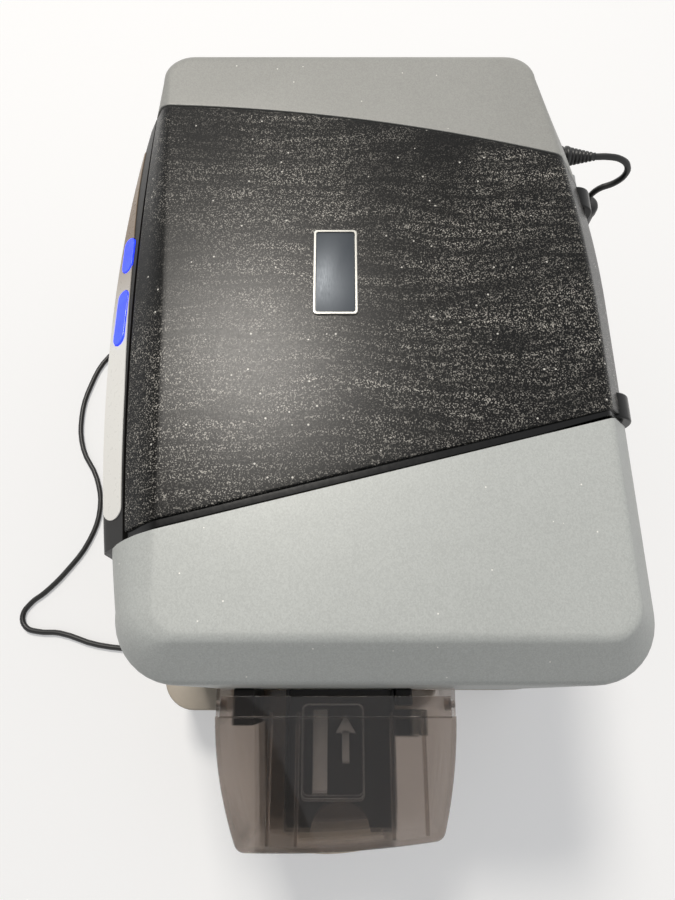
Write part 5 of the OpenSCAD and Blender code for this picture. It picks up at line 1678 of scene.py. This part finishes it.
@dataclass
class Hopper:
    """Smoked card hopper with its hinged door, card tray, lever, posts and the light lip under it."""

    wall_x: float = 128.0
    reach: float = 77.0
    skew: float = 5.4
    bow: float = 2.3
    drawn_in: Pair = (15.0, 10.0)
    curve: float = 2.2
    corner: float = 4.0
    top: float = 140.0
    low: float = 78.0
    path_y: float = -11.5
    half: Pair = (66.5, 61.5)
    wall: float = 2.2
    clear: float = 0.4
    end_clear: float = 0.6
    cut_over: Pair = (2.0, 20.0)
    mouth_x: Pair = (50.0, 110.0)
    mouth_half: float = 23.0
    mouth_sill: float = 6.0
    mouth_over: float = 4.0
    door_t: float = 2.4
    plate_from: float = 6.0
    strap: Pair = (-4.0, 7.0)
    rib_from: float = 4.0
    ribs: tuple[float, ...] = (-37.0, -22.5, 27.0, 44.0)
    rib_half: float = 0.9
    rib_depth: float = 5.0
    lug_inset: float = 2.7
    lug_width: float = 3.0
    lug_r: float = 3.2
    pin_length: float = 2.4
    pin_r: float = 1.8
    hinge: Pair = (136.0, 134.5)
    card_z: float = 118.0
    tray_w: float = 60.0
    tray_t: float = 3.0
    tray_corner: float = 2.5
    notch_r: float = 16.0
    notch_out: float = 1.0
    notch_half: float = 6.0
    rail_short: float = 10.0
    rail_w: float = 1.6
    rail_h: float = 5.0
    arm_x: Pair = (11.0, 25.0)
    arm_reach: float = 13.0
    lever_size: Triple = (13.0, 4.0, 12.0)
    lever_pad: Pair = (5.0, 9.0)
    ink: Pair = (-0.2, 0.08)
    ink_line: float = 0.9
    ink_card: tuple[Pair, Pair] = ((136, -21), (184, 13))
    ink_band: tuple[Pair, Pair] = ((139, -15), (181, -7))
    ink_shaft: tuple[Pair, ...] = ((150, 1), (166, 1), (166, 5), (150, 5))
    ink_head: tuple[Pair, ...] = ((142, 3), (151, -2.5), (151, 8.5))
    post_room: float = 8.0
    post_front: Triple = (8.0, 19.0, 12.0)
    post_back: Triple = (30.4, 9.0, 9.0)
    lip_inset: float = 16.0
    lip_width: float = 84.0
    lip_round: float = 4.0
    lip_length: float = 84.5
    lip_bow: float = 5.0
    lip_t: float = 8.0

    @property
    def sides(self) -> Pair:
        """Front and back side of the hopper in plan."""
        return self.path_y - self.half[0], self.path_y + self.half[1]

    @property
    def body_top(self) -> float:
        """Height of the box under its door."""
        return self.top - self.door_t - self.clear

    def front(self, x: float) -> float:
        """Front side, drawn in towards the hopper's end."""
        return self.sides[0] + self.drawn_in[0] * (max(x - self.wall_x, 0) / self.reach) ** self.curve

    def back(self, x: float) -> float:
        """Back side, drawn in towards the hopper's end."""
        share = max(x - self.wall_x, 0) / (self.reach - self.skew)
        return self.sides[1] - self.drawn_in[1] * share ** self.curve

    def end(self, y: float) -> float:
        """End of the hopper, a little skew and bowed outwards."""
        t = (y - self.sides[0] - self.drawn_in[0]) / (self.sides[1] - self.sides[0] - sum(self.drawn_in))
        return self.wall_x + self.reach - self.skew * t + 4 * self.bow * t * (1 - t)

    def plan(self, x_start: float, inset: float, count: int = 18) -> list[Pair]:
        """Plan outline of the hopper with its two rounded end corners.

        Args:
            x_start: Where it starts.
            inset: How far it lies inside the outer outline.
            count: Steps along a side.

        Returns:
            The points.
        """
        x0 = self.wall_x + self.reach - inset
        x1 = x0 - self.skew
        y0, y1 = self.sides[0] + self.drawn_in[0] + inset, self.sides[1] - self.drawn_in[1] - inset
        r = self.corner
        front = [(x, self.front(x) + inset) for x in steps(x_start, x0 - r, count)]
        back = [(x, self.back(x) - inset) for x in steps(x1 - r, x_start, count)]
        end = [(self.end(y) - inset, y) for y in steps(y0 + r, y1 - r, count)]
        return [*front, *self.tip(front[-1], (x0, y0), end[0]), *end,
                *self.tip(end[-1], (x1, y1), back[0]), *back]

    def tip(self, a: Pair, corner: Pair, b: Pair) -> list[Pair]:
        """Points of a rounded corner between a and b."""
        shares = steps(0, 1, 9)[1:-1]
        return [(bend(a[0], corner[0], b[0], t), bend(a[1], corner[1], b[1], t)) for t in shares]

    def shell(self) -> None:
        """Open box of the hopper with the mouth at its end."""
        behind, above = self.cut_over
        outline = self.plan(self.wall_x - behind, self.wall)
        inside = prism(outline, self.low + self.wall, self.body_top + above)
        x0, x1 = (self.wall_x + x for x in self.mouth_x)
        y0, y1 = self.path_y - self.mouth_half, self.path_y + self.mouth_half
        mouth = prism(rounded_outline(x0, y0, x1, y1, radius=0.6), self.low + self.mouth_sill,
                      self.card_z + self.mouth_over)
        piece(prism(self.plan(self.wall_x, 0), self.low, self.body_top), "hopper_box", "casing", Look.SMOKE,
              "hopper_shell", cutters=[inside, mouth], rounding=0.45)

    def door(self) -> None:
        """Door plate with its stiffening ribs and hinge lugs."""
        x, z = self.hinge
        low, under = self.top - self.door_t, self.top - self.door_t + self.clear
        y0, y1 = self.sides[0] + self.lug_inset, self.sides[1] - self.lug_inset
        parts = [prism(self.plan(x + self.plate_from, 0), low, self.top, edge=0.6, segments=3),
                 block((x + self.strap[0], y0, low), (x + self.strap[1], y1, self.top))]
        for y in (self.path_y + offset for offset in self.ribs):
            end = self.end(y) - self.wall - self.end_clear
            parts.append(block((x + self.rib_from, y - self.rib_half, low - self.rib_depth),
                               (end, y + self.rib_half, under), edge=0.4))
        for y, side in ((y0, 1), (y1, -1)):
            inner = y + side * self.lug_width
            parts.append(drum((x, y, z), (x, inner, z), self.lug_r, edge=0.3, sides=32))
            parts.append(drum((x, y - side * self.pin_length, z), (x, y + side, z), self.pin_r, edge=0.2,
                              sides=24))
            parts.append(block((x - self.lug_r / 2, min(y, inner), z),
                               (x + self.lug_r / 2, max(y, inner), under), edge=0.2))
        piece(joined(*parts), "hopper_lid", "door", Look.SMOKE, "hopper_door")

    def tray(self) -> None:
        """Black card tray with rails and a thumb notch."""
        y0, y1 = self.path_y - self.tray_w / 2, self.path_y + self.tray_w / 2
        start, end = self.wall_x + self.clear, self.end(y1) - self.wall - self.end_clear
        low, top = self.card_z - self.tray_t, self.card_z
        x, y, half = end + self.notch_out, self.path_y, self.notch_half
        notch = drum((x, y, top - half), (x, y, top + half), self.notch_r, edge=0, sides=96)
        plate = prism(rounded_outline(start, y0, end, y1, self.tray_corner), low, top, edge=0.4)
        piece(plate, "tray_plate", "tray", Look.TRAY, "card_tray", cutters=[notch], rounding=0.35)
        parts = [block((start, y, low), (end - self.rail_short, y + self.rail_w, top + self.rail_h), edge=0.4)
                 for y in (y0, y1 - self.rail_w)]
        x0, x1 = (self.wall_x + x for x in self.arm_x)
        parts.append(block((x0, y1 - 1, low), (x1, y1 + self.arm_reach, top), edge=0.3))
        piece(joined(*parts), "tray_rails", "tray", Look.TRAY)

    def outline_strip(self, points: list[Pair], width: float) -> Mesh:
        """A thin printed line round a closed outline.

        Args:
            points: Corner points in plan.
            width: Width of the line.

        Returns:
            The line, a little proud of the tray.
        """
        middle = sum((Vector(p) for p in points), Vector((0, 0))) / len(points)
        inner = []
        for x, y in points:
            inward = (middle - Vector((x, y))).normalized() * width
            inner.append((x + inward.x, y + inward.y))
        low, high = (self.card_z + z for z in self.ink)
        rows = [level(points, low), level(points, high), level(inner, high), level(inner, low)]
        return bent_grid([*rows, rows[0]], UP, closed=True)

    def picture(self) -> None:
        """Generic loading picture on the tray: a card with a dark band, and an arrow towards the printer."""
        card, band, shaft, head = ([(x, self.path_y + y) for x, y in points] for points in (
            self.ink_card, self.ink_band, self.ink_shaft, self.ink_head))
        parts = [self.outline_strip(rounded_outline(*card[0], *card[1], radius=3), self.ink_line)]
        for outline in (rounded_outline(*band[0], *band[1], radius=0.6), shaft, head):
            parts.append(prism(outline, *(self.card_z + z for z in self.ink)))
        settle(as_object(joined(*parts), "tray_picture"), "tray", Look.PRINTED)

    def lever(self) -> None:
        """Light loading lever on the tray's arm."""
        x, y, z = self.wall_x + self.arm_x[0], self.path_y + self.tray_w / 2 + self.arm_reach, self.card_z
        long, wide, high = self.lever_size
        low, top = self.lever_pad
        piece(joined(block((x, y, z - self.tray_t), (x + long, y + wide, z + high), edge=0.8, segments=3),
                     block((x, y - wide, z + low), (x + long, y + wide, z + top), edge=0.8, segments=3)),
              "loading_lever", "tray", Look.LEVER, "load_lever")

    def posts(self) -> None:
        """Dark posts beside the tray."""
        low, high = self.low + self.wall, self.body_top - self.post_room
        parts = []
        for y, (offset, long, wide) in ((self.sides[0], self.post_front), (self.path_y, self.post_back)):
            corner = (self.wall_x + long, y + offset + wide, high)
            parts.append(block((self.wall_x, y + offset, low), corner, edge=1.2, segments=3))
        piece(joined(*parts), "guide_posts", "casing", Look.DARK_PANEL, "hopper_posts")

    def lip(self) -> None:
        """Light lip under the hopper, with a bowed end."""
        x, y0 = self.wall_x, self.sides[0] + self.lip_inset
        y1, r = y0 + self.lip_width, self.lip_round
        outline = [(x, y0), (x, y1)]
        for share in steps(0, 1, 9):
            bulge = self.lip_bow * math.sin(math.pi * share)
            outline.append((x + self.lip_length + bulge, mix(y1 - r, y0 + r, share)))
        plate = prism(outline, self.low - self.lip_t, self.low, edge=1.2, segments=3)
        piece(plate, "lip_plate", "casing", Look.LIP, "output_lip")

    def build(self) -> None:
        """Make the hopper."""
        self.shell()
        self.door()
        self.tray()
        self.picture()
        self.lever()
        self.posts()
        self.lip()


# Pieces that keep their CAD shape

KEPT: dict[Look, tuple[str, ...]] = {
    Look.DARK_PANEL: ("rear_panel", "card_guide", "exit_ramp", "ribbon_cartridge", "head_carrier",
                      "power_socket", "fan_housing", "fan_rotor", "drive_motor", "power_adapter"),
    Look.RUBBER: ("feet", "platen_roller", "feed_roller", "transport_roller"),
    Look.STEEL: ("hinge_pins", "cover_frame", "chassis_front", "chassis_back", "idler_pins", "ribbon_motor",
                 "head_bracket", "board_plate", "usb_port", "casing_screws"),
    Look.CIRCUIT: ("button_board", "main_board"),
    Look.BRONZE: ("shaft_bushes", "motor_pinion", "ribbon_pinion"),
    Look.ACETAL: ("platen_gear", "feed_gear", "transport_gear", "idler_gear_near", "idler_gear_far",
                  "takeup_gear"),
    Look.TACKY: ("cleaning_roller",),
    Look.SUPPLY: ("supply_spool",),
    Look.TAKEUP: ("takeup_spool",),
    Look.FILM: ("ribbon_film",),
    Look.CERAMIC: ("print_head",),
    Look.ALUMINIUM: ("heat_sink",),
}


def dress_kept(frame: dict[str, Any]) -> None:
    """Give every CAD node that stays its finish.
    """
    for look, names in KEPT.items():
        for name in names:
            coat(frame["nodes"][name], look)
            LOG.info("%s keeps its shape", name)


def main() -> None:
    """Build the whole printer."""
    logging.basicConfig(level=logging.INFO, format="%(message)s")
    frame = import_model()
    Studio().build()
    PowerLead().build()
    form = CasingForm()
    SilverEnd(form, End.NEAR, Look.SILVER_NEAR).build()
    # The far end gets the darker copy of the silver paint, which is painted shade.
    SilverEnd(form, End.FAR, Look.SILVER_FAR).build()
    TopCover(form).build()
    FrontPanel(form).build()
    BaseTray(form).build()
    Hopper().build()
    dress_kept(frame)


if __name__ == "__main__":
    main()
